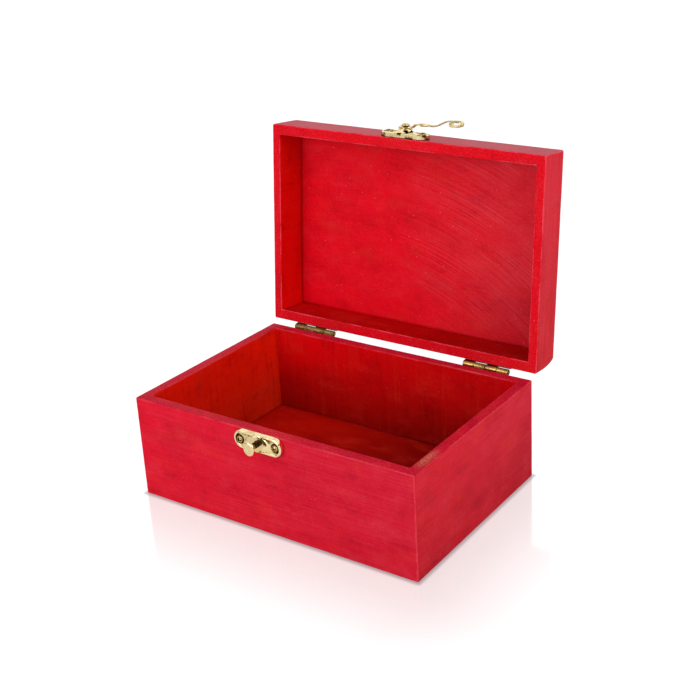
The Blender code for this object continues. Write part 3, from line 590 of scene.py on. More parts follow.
def boardSurface(shape, walls, side):
    # One of four mitred boards: each level of its section runs along a rectangle with rounded
    # corners, from the middle of one corner to that of the next, so neighbours share their ends.
    # Gives the points as if the board were the front one, and in their place.
    halfW, halfD = shape["width"] / 2, shape["depth"] / 2
    reachOwn, reachEnd = (halfD, halfW) if side in ("front", "back") else (halfW, halfD)
    own, z = walls[side]
    start, end = (walls[neighbour][0] for neighbour in boardEnds[side])
    curve = mixed(shape["cornerRound"], shape["innerRound"], own / own.max())
    left = -(reachEnd - start) + curve
    right = (reachEnd - end) - curve
    along = np.linspace(0, 1, int(2 * reachEnd / shape["step"]))[:, None]
    middle = left + (right - left) * along
    bend = arcSpan(45, 0, 6)[:-1, None]
    inwards = curve * (1 - np.cos(bend))
    x = np.concatenate([left - curve * np.sin(bend), middle, right + curve * np.sin(bend[::-1])])
    y = np.concatenate([inwards, np.zeros(middle.shape), inwards[::-1]]) - (reachOwn - own)
    z = np.broadcast_to(z, x.shape)
    a = math.radians(90.0 * list(boardEnds).index(side))
    placed = [x * math.cos(a) - y * math.sin(a), x * math.sin(a) + y * math.cos(a), z]
    return np.stack([x, y, z], -1), np.stack(placed, -1)


def distanceToEdges(own, z, shape, local):
    # How far a point lies from the nearest long edge of its board and from the upright corners.
    thick, across = own.max(), 1.0
    for away in (own, thick - own):
        for level in (shape["low"], shape["high"]):
            across = np.minimum(across, np.hypot(away, z - level))
    ends = np.abs(local[..., 0]).max() - np.abs(local[..., 0])
    ends = np.where(own[None, :] < thick * boardLook["outerPart"], ends, 1.0)
    return np.minimum(across, ends)


def boardTones(shape, side, z, along, rim, inner):
    # Outer face blended from its four corners, inner face from its high tone to its low one, rim.
    # The inner tones carry painted light and shade.
    level = ramp(z, shape["low"], shape["high"] - shape["low"])[:, None]
    run = ((along - along.min()) / (along.max() - along.min()))[..., None]
    upStart, upEnd, lowStart, lowEnd = [linear(tone) for tone in shape[side]]
    outer = mixed(mixed(lowStart, lowEnd, run), mixed(upStart, upEnd, run), level)
    key = "left" if side == "left" else "inner"
    inside = mixed(linear(shape[key + "Low"]), linear(shape[key + "High"]), smooth(level))
    if side == "back":
        base, gain = boardLook["backShade"]
        inside = inside * (base + gain * run)
    if side == "left":
        base, gain, fall = boardLook["leftShade"]
        inside = inside * (base + gain * clamp(1 - run * fall))
    tone = mixed(outer, np.minimum(inside, boardLook["palest"]), inner[:, None])
    return mixed(tone, linear(shape["rim"]), rim[:, None])


def bareSpots(shape, side, x, share, rim):
    # Stain rubbed off: a flat-topped hill along the board times a hill across its rim.
    if side not in shape["bareAndSlitShade"]:
        return np.zeros(x.shape)
    at, reach, middle, wide, amount = shape["bareAndSlitShade"][side]
    return hill(x - at, reach, 4) * hill(share - middle, wide) * rim * amount


def makeBoards(shape, pieceName, nodeName, body, materials, seed, opened):
    # Four boards, uneven by slow noise and chipped by fine noise along their edges, always inwards.
    s = boardLook
    walls = {}
    for side in boardEnds:
        thick = shape["endWall" if side in ("front", "back") else "sideWall"]
        plainRound = (shape["edgeRound"], shape["edgeRound"])
        walls[side] = wallProfile(shape, thick, shape["topRounds"].get(side, plainRound))
    for index, side in enumerate(boardEnds):
        own, z = walls[side]
        local, world = boardSurface(shape, walls, side)
        share = own / own.max()
        edge = distanceToEdges(own, z, shape, local)
        rim = clamp(1 - np.abs(z - shape["low" if opened else "high"]) / s["rimBand"])
        inner = ramp(share, s["innerFrom"], 1 - s["innerFrom"]) * (1 - rim)
        chip = latticeNoise(world, s["chip"], seed + 5) * clamp(1 - edge / s["chipReach"])
        away = world - np.array([0.0, 0.0, (shape["low"] + shape["high"]) / 2])
        away[..., 2] *= s["levelPull"]
        away /= np.linalg.norm(away, axis=-1, keepdims=True)
        sunk = np.abs(unevenness(world, s["waves"], seed)) + np.abs(chip * s["chipDeep"])
        shifted = world - away * sunk[..., None]
        grain = local + np.array(s["grainShift"]) * index + np.array([seed, 0, 0])
        plain = np.zeros(edge.shape)
        obj = makeObject(
            pieceName.format(side.capitalize()), turnedOpen(shifted) if opened else shifted,
            tubeFaces(*edge.shape),
            {"edgeDistance": edge, "rim": plain + rim, "stained": plain + inner,
             "brushed": plain + s["brushed"] * (1 - inner) * (1 - rim),
             "bareAndSlitShade": bareSpots(shape, side, local[..., 0], share, rim)},
            {"grainPlace": grain,
             "brushPlace": mixed(grain[..., [2, 0, 1]], grain[..., [0, 2, 1]], inner[:, None])},
            boardTones(shape, side, z, local[..., 0], rim, inner))
        finishPiece(obj, nodeName.format(side), body, materials.get(side, materials["rest"]))


panelShape = {
    "thick": 0.0020, "gap": 0.0001, "slit": 0.0005, "slitDeep": 0.0011, "step": 0.0016,
    "tone": (234, 0, 28), "edgeTone": (220, 0, 20), "edgeReach": 0.006,
    "brushCentre": (-0.045, 0.185), "sheenTone": (218, 34, 48), "outerTone": (212, 18, 44),
    # where the brushing and the painted sheen fade in across and up, how far, and its least part
    "brushAcross": (-0.020, 0.080, 0.06), "brushUp": (0.075, -0.05, 0.5), "sheenPart": 0.8,
    # painted shade towards the right and the back edge: how dark, and where it fades in across and
    # up
    "paintedShade": 0.30, "paintedShadeAcross": (0.01, 0.07), "paintedShadeUp": (0.0, 0.05), "plainOutside": 0.7,
    "brushTurn": 0.2, "slitShadeReach": 0.0006,
}
floorShape = {
    "thick": 0.0074, "gap": 0.0003, "step": 0.0018, "tone": (172, 14, 1),
    "edgeTone": (160, 10, 1), "edgeReach": 0.006, "farTone": (128, 2, 1),
    "farAcross": (-0.06, 0.11), "glow": (0.90, 0.42), "glowUp": (0.0, 0.05),
    "glowAcross": (0.045, -0.09),
}
panelLook = {"waves": ((0.016, 0.00008, 0), (0.004, 0.00002, 3)), "farFromEdge": 0.02}


def slab(low, high, step, groove=0.0, grooveDeep=0.0):
    # Closed board: its section in x and z, with an optional groove along the left edge of the
    # lower face, is carried along y.
    inner = np.arange(low[0] + groove + step, high[0] - step / 2, step)
    start = [low[0], low[0] + groove * 0.5, low[0] + groove] if groove else [low[0]]
    x = np.concatenate([start, inner, [high[0]]])
    z = np.full(len(x), low[2])
    z[:len(start) - 1] += grooveDeep
    ringX = np.concatenate([x, x[::-1]])
    ringZ = np.concatenate([z, np.full(len(x), high[2])])
    y = np.linspace(low[1], high[1], int((high[1] - low[1]) / step))
    shape = (len(y), len(ringX))
    return np.stack([np.broadcast_to(ringX, shape), np.broadcast_to(y[:, None], shape),
                     np.broadcast_to(ringZ, shape)], -1)


def panelSurface(points, shape, seed):
    # Both broad faces sink a little by slow noise; the tone turns to the edge tone at the sides.
    low, high = points.reshape(-1, 3).min(0), points.reshape(-1, 3).max(0)
    x, y, z = np.moveaxis(points, -1, 0)
    inward = np.where(z > (low[2] + high[2]) / 2, -1.0, 1.0)
    shifted = points.copy()
    shifted[..., 2] += inward * np.abs(unevenness(points, panelLook["waves"], seed))
    side = np.minimum(np.minimum(x - low[0], high[0] - x), np.minimum(y - low[1], high[1] - y))
    near = hill(side, shape["edgeReach"], 1)[..., None]
    return shifted, mixed(linear(shape["tone"]), linear(shape["edgeTone"]), near)


def makePanelObject(name, shifted, tone, grain, brush, brushed, bareAndSlitShade):
    plain = np.zeros(shifted.shape[:2])
    faces = [face[::-1] for face in tubeFaces(*plain.shape)]
    return makeObject(name, shifted, faces,
                      {"edgeDistance": plain + panelLook["farFromEdge"], "rim": plain,
                       "brushed": plain + brushed, "stained": plain, "bareAndSlitShade": plain + bareAndSlitShade},
                      {"grainPlace": grain, "brushPlace": brush}, tone)


def makeLidPanel(seed):
    # Brushed in arcs about one centre, more to the right, where a pinker tone paints a sheen;
    # painted shade towards the right and the back edge; a slit on the left, painted near black as
    # shade; a tone of its own on the outer face.
    s = panelShape
    halfW = lidShape["width"] / 2 - lidShape["sideWall"]
    halfD = lidShape["depth"] / 2 - lidShape["endWall"]
    low = (-halfW + s["gap"], -halfD + s["gap"], lidShape["high"] - s["thick"])
    high = (halfW - s["gap"], halfD - s["gap"], lidShape["high"])
    points = slab(low, high, s["step"], s["slit"], s["slitDeep"])
    shifted, tone = panelSurface(points, s, seed)
    x, y, z = np.moveaxis(points, -1, 0)
    dx, dy = x - s["brushCentre"][0], y - s["brushCentre"][1]
    turn = np.arctan2(dy, dx) * s["brushTurn"]
    brush = np.stack([np.hypot(dx, dy), turn, np.zeros(x.shape)], -1)
    brushed = ramp(x, *s["brushAcross"]) * ramp(y, *s["brushUp"])
    # painted sheen: the brushed part turns to a pinker tone
    tone = mixed(tone, linear(s["sheenTone"]), (brushed * s["sheenPart"])[..., None])
    # painted shade: darker towards the right and the back edge
    paintedShade = s["paintedShade"] * ramp(x, *s["paintedShadeAcross"]) * ramp(y, *s["paintedShadeUp"])
    tone = tone * (1 - paintedShade)[..., None]
    outer = ramp(z, low[2], s["thick"])
    # painted shade: the slit along the left edge of the inner face turns near black
    bareAndSlitShade = clamp(1 - (x - low[0]) / s["slitShadeReach"]) * (1 - outer)
    tone = mixed(tone, linear(s["outerTone"]), outer[..., None])
    obj = makePanelObject("lidPanelBoard", turnedOpen(shifted), tone, points + seed, brush,
                          brushed * (1 - s["plainOutside"] * outer), bareAndSlitShade)
    finishPiece(obj, "lid_panel", "lid", lidWood)


def makeBoxFloor(seed):
    # Deeper in tone towards the right, a little paler at the far left: painted shade and painted
    # light on the floor of the box.
    s = floorShape
    halfW = boxShape["width"] / 2 - boxShape["sideWall"] - s["gap"]
    halfD = boxShape["depth"] / 2 - boxShape["endWall"] - s["gap"]
    points = slab((-halfW, -halfD, 0.0), (halfW, halfD, s["thick"]), s["step"])
    shifted, tone = panelSurface(points, s, seed)
    x, y = points[..., 0], points[..., 1]
    tone = mixed(tone, linear(s["farTone"]), ramp(x, *s["farAcross"])[..., None])
    least, gain = s["glow"]
    tone = tone * (least + gain * ramp(y, *s["glowUp"]) * ramp(x, *s["glowAcross"]))[..., None]
    obj = makePanelObject("boxFloorBoard", shifted, tone, points + seed, points + seed, 0.0, 0.0)
    finishPiece(obj, "floor_panel", "box", floorWood)


makeBoards(boxShape, "box{}Board", "{}_board", "box", {"rest": boxWood}, 1.0, False)
makeBoards(lidShape, "lid{}Rail", "lid_{}_rail", "lid",
           {"rest": lidWood, "front": lidFrontWood}, 2.0, True)
makeLidPanel(4.0)
makeBoxFloor(6.0)
print("boards made")


# Brass of the latch

latchShape = {
    "catch": (-0.0031, 0.0538), "pivot": (0.0002, 0.0645), "front": 0.0605,
    "halfLength": 0.0153, "halfWidth": 0.0051, "low": 0.0003, "top": 0.0030, "face": 0.0025,
    "lip": 0.0008, "bead": 0.0011, "slope": 0.0004, "bossTop": 0.0043, "bossRound": 0.0037,
    "bossFoot": (0.0080, 0.0049), "screwAt": 0.0114, "dish": 0.0027, "dishDeep": 0.0005,
    "dishSlope": 0.0006, "dishRise": 0.0004, "sheet": 0.0008, "sheetFrom": 0.0012,
    "dent": 0.0030, "dentDeep": 0.00007, "dentFrom": 0.0010,
    "wobble": 0.0022, "wobbleDeep": 0.00003,
    # the turned-down rim seen from below: distance in and level above the wood
    "skirt": ((0.0, 0.0001), (0.0001, 0.0), (0.0007, 0.0), (0.0008, 0.0001), (0.0008, 0.0009)),
    "window": ((0.0047, -0.0009), (-0.0010, -0.0041), (0.0030, 0.0022)), "snap": 0.00009,
}
# rings of points: how far in from the outline the face and the bead begin and end, and how many
plateGrid = {"arc": 91, "face": (0.0017, 28), "bead": (0.0016, 0.0009, 8), "lip": 7}
# each pair: where a darkened part lies and how far it reaches
plateTarnishAndPaintedLight = {
    "groove": (0.00152, 0.00016), "grooveDark": 1.5, "grooveLow": -0.0012, "lowDark": 0.9,
    "seat": (0.0024, 0.00032), "seatDark": 1.5, "dishDark": 0.7,
    "foot": (0.9, 0.14), "footFrom": 0.0015, "footDark": 0.3,
    "faceFrom": (0.0014, 0.0003), "faceDark": 0.36,
    # the part of the face kept light, a painted highlight: middle and reach across and up
    "bright": ((0.0064, 0.0028), (-0.0006, 0.0030)), "highlightPart": 0.9,
    "patch": 0.0016, "blot": 0.0026, "blotGain": 3.6, "blotRings": 6, "windowBlots": 0.25,
    "under": 2.0,
}


def onFront(local, centre, opened):
    # Points across, up and out from a spot on the front face.
    placed = np.stack([centre[0] + local[..., 0], -latchShape["front"] - local[..., 2],
                       centre[1] + local[..., 1]], -1)
    return turnedOpen(placed) if opened else placed


def finishBrass(name, node, body, material, points, faces, grimeAndShade):
    obj = makeObject(name, points, faces, {"grimeAndShade": grimeAndShade}, weld=True)
    finishPiece(obj, node, body, material)


def bossShare(u, v):
    # 0 at the flat top of the boss to 1 at its oval foot: the oval through the point, by halving.
    s = latchShape
    low, high = np.zeros(u.shape), np.full(u.shape, 4.0)
    for _ in range(24):
        k = (low + high) / 2
        a, b = (s["bossRound"] + (foot - s["bossRound"]) * k for foot in s["bossFoot"])
        outside = (u / a) ** 2 + (v / b) ** 2 > 1
        low, high = np.where(outside, k, low), np.where(outside, high, k)
    return clamp((low + high) / 2)


def plateHeight(u, v, inset, seed):
    # Stamped plate: round lip, flat bead, slope to the sunk face, boss as a cosine step over
    # ovals, a round dish below each screw, and a slight unevenness.
    s = latchShape
    fall = ramp(inset, s["lip"], -s["lip"])
    level = s["top"] - s["lip"] * (1 - np.sqrt(1 - fall ** 2))
    level = level - (s["top"] - s["face"]) * smooth(ramp(inset, s["bead"], s["slope"]))
    rise = s["bossTop"] - s["face"]
    level = np.maximum(level, s["face"] + rise * (1 + np.cos(np.pi * bossShare(u, v))) / 2)
    away = np.hypot(np.abs(u) - s["screwAt"], v)
    dish = ramp(away, s["dish"], -s["dishSlope"])
    around = np.minimum(level, s["face"] + s["dishRise"] * (1 - dish))
    level = np.where(inset > s["bead"], around, level) - s["dishDeep"] * smooth(dish)
    return level + flatNoise(u, v, s["dent"], seed) * s["dentDeep"] * ramp(inset, 0, s["dentFrom"])


def fromWindow(u, v, corners):
    # Signed distance to the sides of a convex opening, and the direction away from it.
    best = np.full(u.shape, -1.0)
    nx, ny = np.zeros(u.shape), np.zeros(u.shape)
    for (ax, ay), (bx, by) in zip(corners, corners[1:] + corners[:1]):
        length = math.hypot(bx - ax, by - ay)
        sx, sy = (by - ay) / length, -(bx - ax) / length
        d = (u - ax) * sx + (v - ay) * sy
        nx, ny = np.where(d > best, sx, nx), np.where(d > best, sy, ny)
        best = np.maximum(best, d)
    return best, nx, ny


def cutWindow(u, v, corners):
    # Points close to the sides of the window move onto them, and quads inside it are marked.
    d, nx, ny = fromWindow(u, v, corners)
    close = np.abs(d) < latchShape["snap"]
    u, v = np.where(close, u - d * nx, u), np.where(close, v - d * ny, v)
    middles = [(g[:-1] + g[1:] + np.roll(g[:-1], -1, 1) + np.roll(g[1:], -1, 1)) / 4
               for g in (u, v)]
    return u, v, fromWindow(*middles, corners)[0] < 0


def windowWalls(cut, twin, cols):
    # Quads from the top to the under side along each border of the cut part. twin: the under
    # side's row for each row of the top.
    walls = []
    for i, j in zip(*np.nonzero(cut)):
        k = (j + 1) % cols
        borders = ((i > 0 and not cut[i - 1, j], (i, j), (i, k)),
                   (not cut[i + 1, j], (i + 1, j), (i + 1, k)),
                   (not cut[i, (j - 1) % cols], (i, j), (i + 1, j)),
                   (not cut[i, k], (i, k), (i + 1, k)))
        walls += [[p[0] * cols + p[1], q[0] * cols + q[1], twin[q[0]] * cols + q[1],
                   twin[p[0]] * cols + p[1]] for isBorder, p, q in borders if isBorder]
    return walls


def plateGrimeAndShade(u, v, inset, points, start, window, seed):
    # Dark in the groove inside the bead, patchy below, and round the screws: painted shade; a
    # little darker at the boss's foot. Over the face: tarnish and a painted dark reflection, kept
    # off a
    # painted highlight. In blots on the lip: painted dark reflections. All over the under side:
    # painted shade.
    s = plateTarnishAndPaintedLight
    away = np.hypot(np.abs(u) - latchShape["screwAt"], v)
    groove = hill(inset - s["groove"][0], s["groove"][1])
    foot = hill(bossShare(u, v) - s["foot"][0], s["foot"][1]) * (inset > s["footFrom"])
    face = ramp(inset, *s["faceFrom"]) * s["faceDark"] + foot * s["footDark"]
    (atU, reachU), (atV, reachV) = s["bright"]
    # painted highlight: the face is kept light here
    face = face * (1 - s["highlightPart"] * hill(u - atU, reachU, 4) * hill(v - atV, reachV, 4))
    patchy = clamp(flatNoise(u, v, s["patch"], seed + 4) + 0.3)
    grooveDark = np.where(v > s["grooveLow"], s["grooveDark"], s["lowDark"] * patchy)
    at, reach = s["seat"]
    seat = hill(away - at, reach) * s["seatDark"] + (away < at) * s["dishDark"]
    grimeAndShade = np.full(points.shape[:2], s["under"])
    grimeAndShade[:len(inset)] = face + groove * grooveDark + seat
    # painted dark reflections: blots on the lip, fainter on the plate with the window
    lip = slice(len(inset) - s["blotRings"], start)
    blots = latticeNoise(points[lip] * np.array([1, 1, 1.6]), s["blot"], seed + 6) * s["blotGain"]
    grimeAndShade[lip] = np.clip(blots + 0.1, 0, 1.8) * (s["windowBlots"] if window else 1.0)
    return grimeAndShade


def makePlate(name, node, body, centre, opened, window, seed):
    # Rings that follow a long round outline, from its middle line outwards: the top with its lip,
    # the turned-down rim, and back inwards the under side, one sheet below the top.
    s, grid = latchShape, plateGrid
    r, count = s["halfWidth"], grid["arc"]
    straight = s["halfLength"] - r
    turn = arcSpan(-90, 90, count)
    run = np.linspace(straight, -straight, count)[1:-1]
    level = np.zeros(len(run))
    midX = np.concatenate([np.full(count, straight), run, np.full(count, -straight), -run])
    outX = np.concatenate([np.cos(turn), level, -np.cos(turn), level])
    outY = np.concatenate([np.sin(turn), level + 1, -np.sin(turn), level - 1])
    inset = np.concatenate([np.linspace(r, *grid["face"]), np.linspace(*grid["bead"]),
                            s["lip"] * (1 - np.sin(arcSpan(0, 90, grid["lip"])))])[:, None]
    u = midX + outX * (r - inset)
    v = outY * (r - inset)
    cut = np.zeros((len(inset) - 1, len(midX)), bool)
    if window:
        u, v, cut = cutWindow(u, v, window)
    top = np.stack([u, v, plateHeight(u, v, inset, seed)], -1)
    rim = [np.stack([midX + outX * (r - edge), outY * (r - edge), midX * 0 + s["low"] + height], -1)
           for edge, height in s["skirt"]]
    keep = np.nonzero(inset[:, 0] >= s["sheetFrom"])[0][::-1]
    under = top[keep] - np.array([0.0, 0.0, s["sheet"]])
    points = np.concatenate([top, np.array(rim), under])
    rows, cols = points.shape[:2]
    start = len(inset) + len(rim)
    twin = {row: start + i for i, row in enumerate(keep)}
    gone = np.zeros((rows - 1, cols), bool)
    gone[:len(inset) - 1] = cut
    for i, j in zip(*np.nonzero(cut)):
        gone[twin[i + 1], j] = True
    quads = gridQuads(rows, cols)[:, ::-1].reshape(rows - 1, cols, 4)
    faces = quads[~gone].tolist() + windowWalls(cut, twin, cols)
    wobble = latticeNoise(points * np.array([1, 1, 0.3]), s["wobble"], seed + 2) * s["wobbleDeep"]
    points[..., 2] = np.maximum(points[..., 2] + wobble, s["low"])
    finishBrass(name, node, body, brightBrass, onFront(points, centre, opened),
                faces, plateGrimeAndShade(u, v, inset, points, start, window, seed))


ringPoints = 96


def turnedSolid(profile, halves=(1.0, 1.0)):
    # Rings of given level and radius; halves stretch them to ovals.
    angle = np.linspace(0, 2 * np.pi, ringPoints, endpoint=False)
    level, radius = np.array(profile).T[..., None]
    points = np.stack([radius * halves[0] * np.cos(angle), radius * halves[1] * np.sin(angle),
                       np.broadcast_to(level, (len(level), len(angle)))], -1)
    return points, tubeFaces(len(level), len(angle))


def domeProfile(low, s, arc):
    # Levels and radii of a quarter ellipse on a short upright edge.
    return list(zip(low + s["edge"] + (s["rise"] - s["edge"]) * np.sin(arc),
                    s["head"] * np.cos(arc)))


screwShape = {
    "shank": 0.0010, "tip": 0.0003, "tipLength": 0.002, "bite": 0.0042, "seat": 0.0023,
    "head": 0.0020, "rise": 0.0016, "edge": 0.0001, "slot": 0.00030, "slotSlope": 0.00008,
    "slotReach": 0.0012, "slotEnd": 0.0003, "slotDeep": 0.0007, "turn": 20.0,
}
screwTarnishAndShade = {"patch": 0.0009, "cross": 2.0, "least": 0.3, "worn": 0.6, "seat": 1.6, "fade": 0.00025}


def makeScrew(name, node, body, centre, opened, turn):
    # Dome with a cross pressed in: the recess is a smooth step in from each arm's side and end.
    s = screwShape
    profile = [(-s["bite"], s["tip"]), (-s["bite"] + s["tipLength"], s["shank"]),
               (s["seat"], s["shank"]), (s["seat"], s["head"] - s["edge"])]
    points, faces = turnedSolid(profile + domeProfile(s["seat"], s, arcSpan(0, 89, 26)))
    x, y, z = np.moveaxis(points, -1, 0).copy()
    u = x * math.cos(turn) + y * math.sin(turn)
    v = y * math.cos(turn) - x * math.sin(turn)
    head = z > s["seat"] + 2 * s["edge"]
    press = np.zeros(u.shape)
    for along, aside in ((u, v), (v, u)):
        side = ramp(np.abs(aside), s["slot"] + s["slotSlope"] / 2, -s["slotSlope"])
        end = ramp(np.abs(along), s["slotReach"] + s["slotEnd"] / 2, -s["slotEnd"])
        press = np.maximum(press, side * end * head)
    points[..., 2] -= press * s["slotDeep"]
    # black in the cross and round the seat: painted shade in the recess and where the head meets
    # the plate; tarnish in patches over the head
    tarnishAndShade = screwTarnishAndShade
    worn = clamp(latticeNoise(points, tarnishAndShade["patch"], 21.0) + 0.2)
    grimeAndShade = press * tarnishAndShade["cross"] + (tarnishAndShade["least"] + tarnishAndShade["worn"] * worn) * head
    grimeAndShade = grimeAndShade + tarnishAndShade["seat"] * hill(np.abs(points[..., 2] - s["seat"]), tarnishAndShade["fade"], 1)
    finishBrass(name, node, body, agedBrass, onFront(points, centre, opened), faces,
                grimeAndShade)


knobShape = {
    "neck": 0.0013, "neckFoot": 1.2, "neckRivet": 1.4, "sunk": 0.0009, "shoulder": 0.0017,
    "shoulderLow": 0.0046, "shoulderHigh": 0.0050, "edge": 0.0001,
    "base": 0.0087, "thick": 0.0014, "halfWidth": 0.0034, "halfHeight": 0.00385, "sink": 0.0002,
    # each rounding of the head: middle above the base, rise, share of the half width, arc
    "rounds": ((0.0003, 0.0003, 0.90, (-90, 0, 6)), (0.0006, 0.0007, 0.78, (0, 90, 9))),
    # the domed face: how far below its middle, and share of the half width
    "dome": ((0.00005, 0.72), (0.00003, 0.5), (0.0, 0.25), (0.0, 0.01)), "foot": 0.55,
    "tail": 0.0008,
}
# tarnish on the face, in patches, and painted shade under the head: where it begins and how fast it
# grows
knobTarnishAndShade = {"face": (0.0002, 0.0001), "least": 0.22, "patch": 0.0014, "patchy": 0.12,
            "under": 0.0004, "dark": 1.55}


def makeKnob():
    # Neck, small shoulder and an oval head with rounded rim and a face a little domed.
    s = knobShape
    base, face, neck, edge = s["base"], s["base"] + s["thick"], s["neck"], s["edge"]
    under, sink = latchShape["bossTop"] - s["sunk"], s["sink"]
    low, high = s["shoulderLow"], s["shoulderHigh"]
    stem, faces = turnedSolid([
        (under - s["tail"], neck * s["neckFoot"]), (under - sink, neck * s["neckRivet"]),
        (under, neck), (low - edge, neck), (low, s["shoulder"]), (high, s["shoulder"]),
        (high + edge, neck), (base + sink, neck)])
    head = [(base, sink / s["halfWidth"]), (base, s["foot"])]
    for level, rise, share, arc in s["rounds"]:
        head += [(base + level + rise * math.sin(a), share + (1 - share) * math.cos(a))
                 for a in arcSpan(*arc)]
    head += [(face - drop, share) for drop, share in s["dome"]]
    oval, more = turnedSolid(head, (s["halfWidth"], s["halfHeight"]))
    faces += [[i + stem.size // 3 for i in quad] for quad in more]
    both = np.concatenate([stem.reshape(-1, 3), oval.reshape(-1, 3)])
    tarnishAndShade, level = knobTarnishAndShade, both[:, 2]
    rubbed = clamp(latticeNoise(both, tarnishAndShade["patch"], 31.0) + 0.4)
    below, reach = tarnishAndShade["face"]
    grimeAndShade = ramp(level, face - below, reach) * (tarnishAndShade["least"] + tarnishAndShade["patchy"] * rubbed)
    grimeAndShade += ramp(level, base + tarnishAndShade["under"], -tarnishAndShade["under"]) * tarnishAndShade["dark"]
    finishBrass("catchKnobHead", "catch_knob", "box", brightBrass,
                onFront(both, latchShape["catch"], False), faces, grimeAndShade)


rivetShape = {
    "shank": 0.0012, "play": 0.0003, "washer": 0.0043, "washerLow": 0.0046, "washerThick": 0.0006,
    "head": 0.0024, "headLow": 0.0066, "edge": 0.0004, "rise": 0.0015, "sunk": 0.0011,
    "tail": 0.0006, "tailFoot": 1.3, "tailTop": 1.6, "headFoot": 0.93,
    # painted shade below the washer and the head: how far up it fades, how dark it is
    "washerShade": (0.0002, 1.8), "headShade": (0.0006, 1.9), "leastDirt": 0.15,
}


def makeWasher():
    # Washer with a half-round edge: its section closes on itself, so it needs no end faces.
    s = rivetShape
    edge, bore, low = s["washerThick"] / 2, s["shank"] + s["play"], s["washerLow"]
    ring = [(low + edge + edge * math.sin(a), s["washer"] - edge + edge * math.cos(a))
            for a in arcSpan(-90, 90, 10)]
    profile = [(low, bore), *ring, (low + s["washerThick"], bore), (low, bore)]
    points, faces = turnedSolid(profile)
    reach, dark = s["washerShade"]
    finishBrass("latchWasherRing", "latch_washer", "lid", brightBrass,
                onFront(points, latchShape["pivot"], True), faces[:-2],
                ramp(points[..., 2], low + reach, -reach) * dark)


def makeRivet():
    # Shank, spread tail behind the plate, and a domed head on the hook's eye.
    s = rivetShape
    under, low, shank = latchShape["bossTop"] - s["sunk"], s["headLow"], s["shank"]
    profile = [(under - s["tail"], shank * s["tailFoot"]), (under, shank * s["tailTop"]),
               (under, shank), (low, shank), (low, s["head"] * s["headFoot"])]
    points, faces = turnedSolid(profile + domeProfile(low, s, arcSpan(-20, 89, 22)))
    reach, dark = s["headShade"]
    grimeAndShade = ramp(points[..., 2], low + reach, -reach) * dark
    finishBrass("latchRivetHead", "latch_rivet", "lid", agedBrass,
                onFront(points, latchShape["pivot"], True), faces,
                np.maximum(grimeAndShade, s["leastDirt"]))


makePlate("catchPlateShell", "catch_plate", "box", latchShape["catch"], False,
          latchShape["window"], 11.0)
makePlate("latchPlateShell", "latch_plate", "lid", latchShape["pivot"], True, None, 12.0)
makeKnob()
makeWasher()
makeRivet()
for owner, body, (x, z), opened in (("catch", "box", latchShape["catch"], False),
                                    ("latch", "lid", latchShape["pivot"], True)):
    for side, sign in (("left", -1), ("right", 1)):
        makeScrew(owner + "Screw" + side.capitalize(), owner + "_screw_" + side, body,
                  (x + sign * latchShape["screwAt"], z), opened,
                  math.radians(screwShape["turn"] * sign))
print("latch made")


# Brass of the hinges

leafShape = {
    "centre": 0.0597, "half": 0.0145, "sheet": 0.0009, "roll": 0.00130, "back": 0.00165,
    "height": 0.0125, "corner": 0.0020, "notch": 0.0024, "knuckles": 4, "seam": 0.00016,
    "turn": 288.0, "chamfer": 0.00012,
    # how far the painted shade inside the rolls and in the seams reaches, how large the tarnish
    # patches are, and how dark each is
    "rollShade": (0.0003, 1.6), "seamShade": (0.00022, 1.1), "patchDirt": (0.0040, 0.9),
}


def sheetStrip(y, z, ny, nz, left, right):
    # Closed strip of sheet: chamfered rectangle carried along a line in the y-z plane.
    c, half = leafShape["chamfer"], leafShape["sheet"] / 2
    x = np.stack([right - c, right, right, right - c, left + c, left, left, left + c], -1)
    n = np.array([-half, -half + c, half - c, half, half, half - c, -half + c, -half])
    points = np.stack([x, y[:, None] + ny[:, None] * n, z[:, None] + nz[:, None] * n], -1)
    return points.reshape(-1, 3), tubeFaces(len(y), len(n))


def leafGrimeAndShade(points, centre, pitch):
    # Dark inside the rolls and in the seams between the knuckles, painted shade, and in slow
    # tarnish patches.
    s = leafShape
    out = np.hypot(points[:, 1] - hinge["y"], points[:, 2] - hinge["z"])
    along = (points[:, 0] - centre + s["half"]) / pitch
    (roll, rollDark), (seam, seamDark), (patch, patchDark) = (
        s[key] for key in ("rollShade", "seamShade", "patchDirt"))
    grimeAndShade = ramp(out, s["roll"], -roll) * rollDark
    grimeAndShade += hill(np.abs(along - np.round(along)) * pitch, seam, 1) * seamDark
    return np.clip(grimeAndShade + clamp(latticeNoise(points, patch, 41.0)) * patchDark, 0, 1.8)


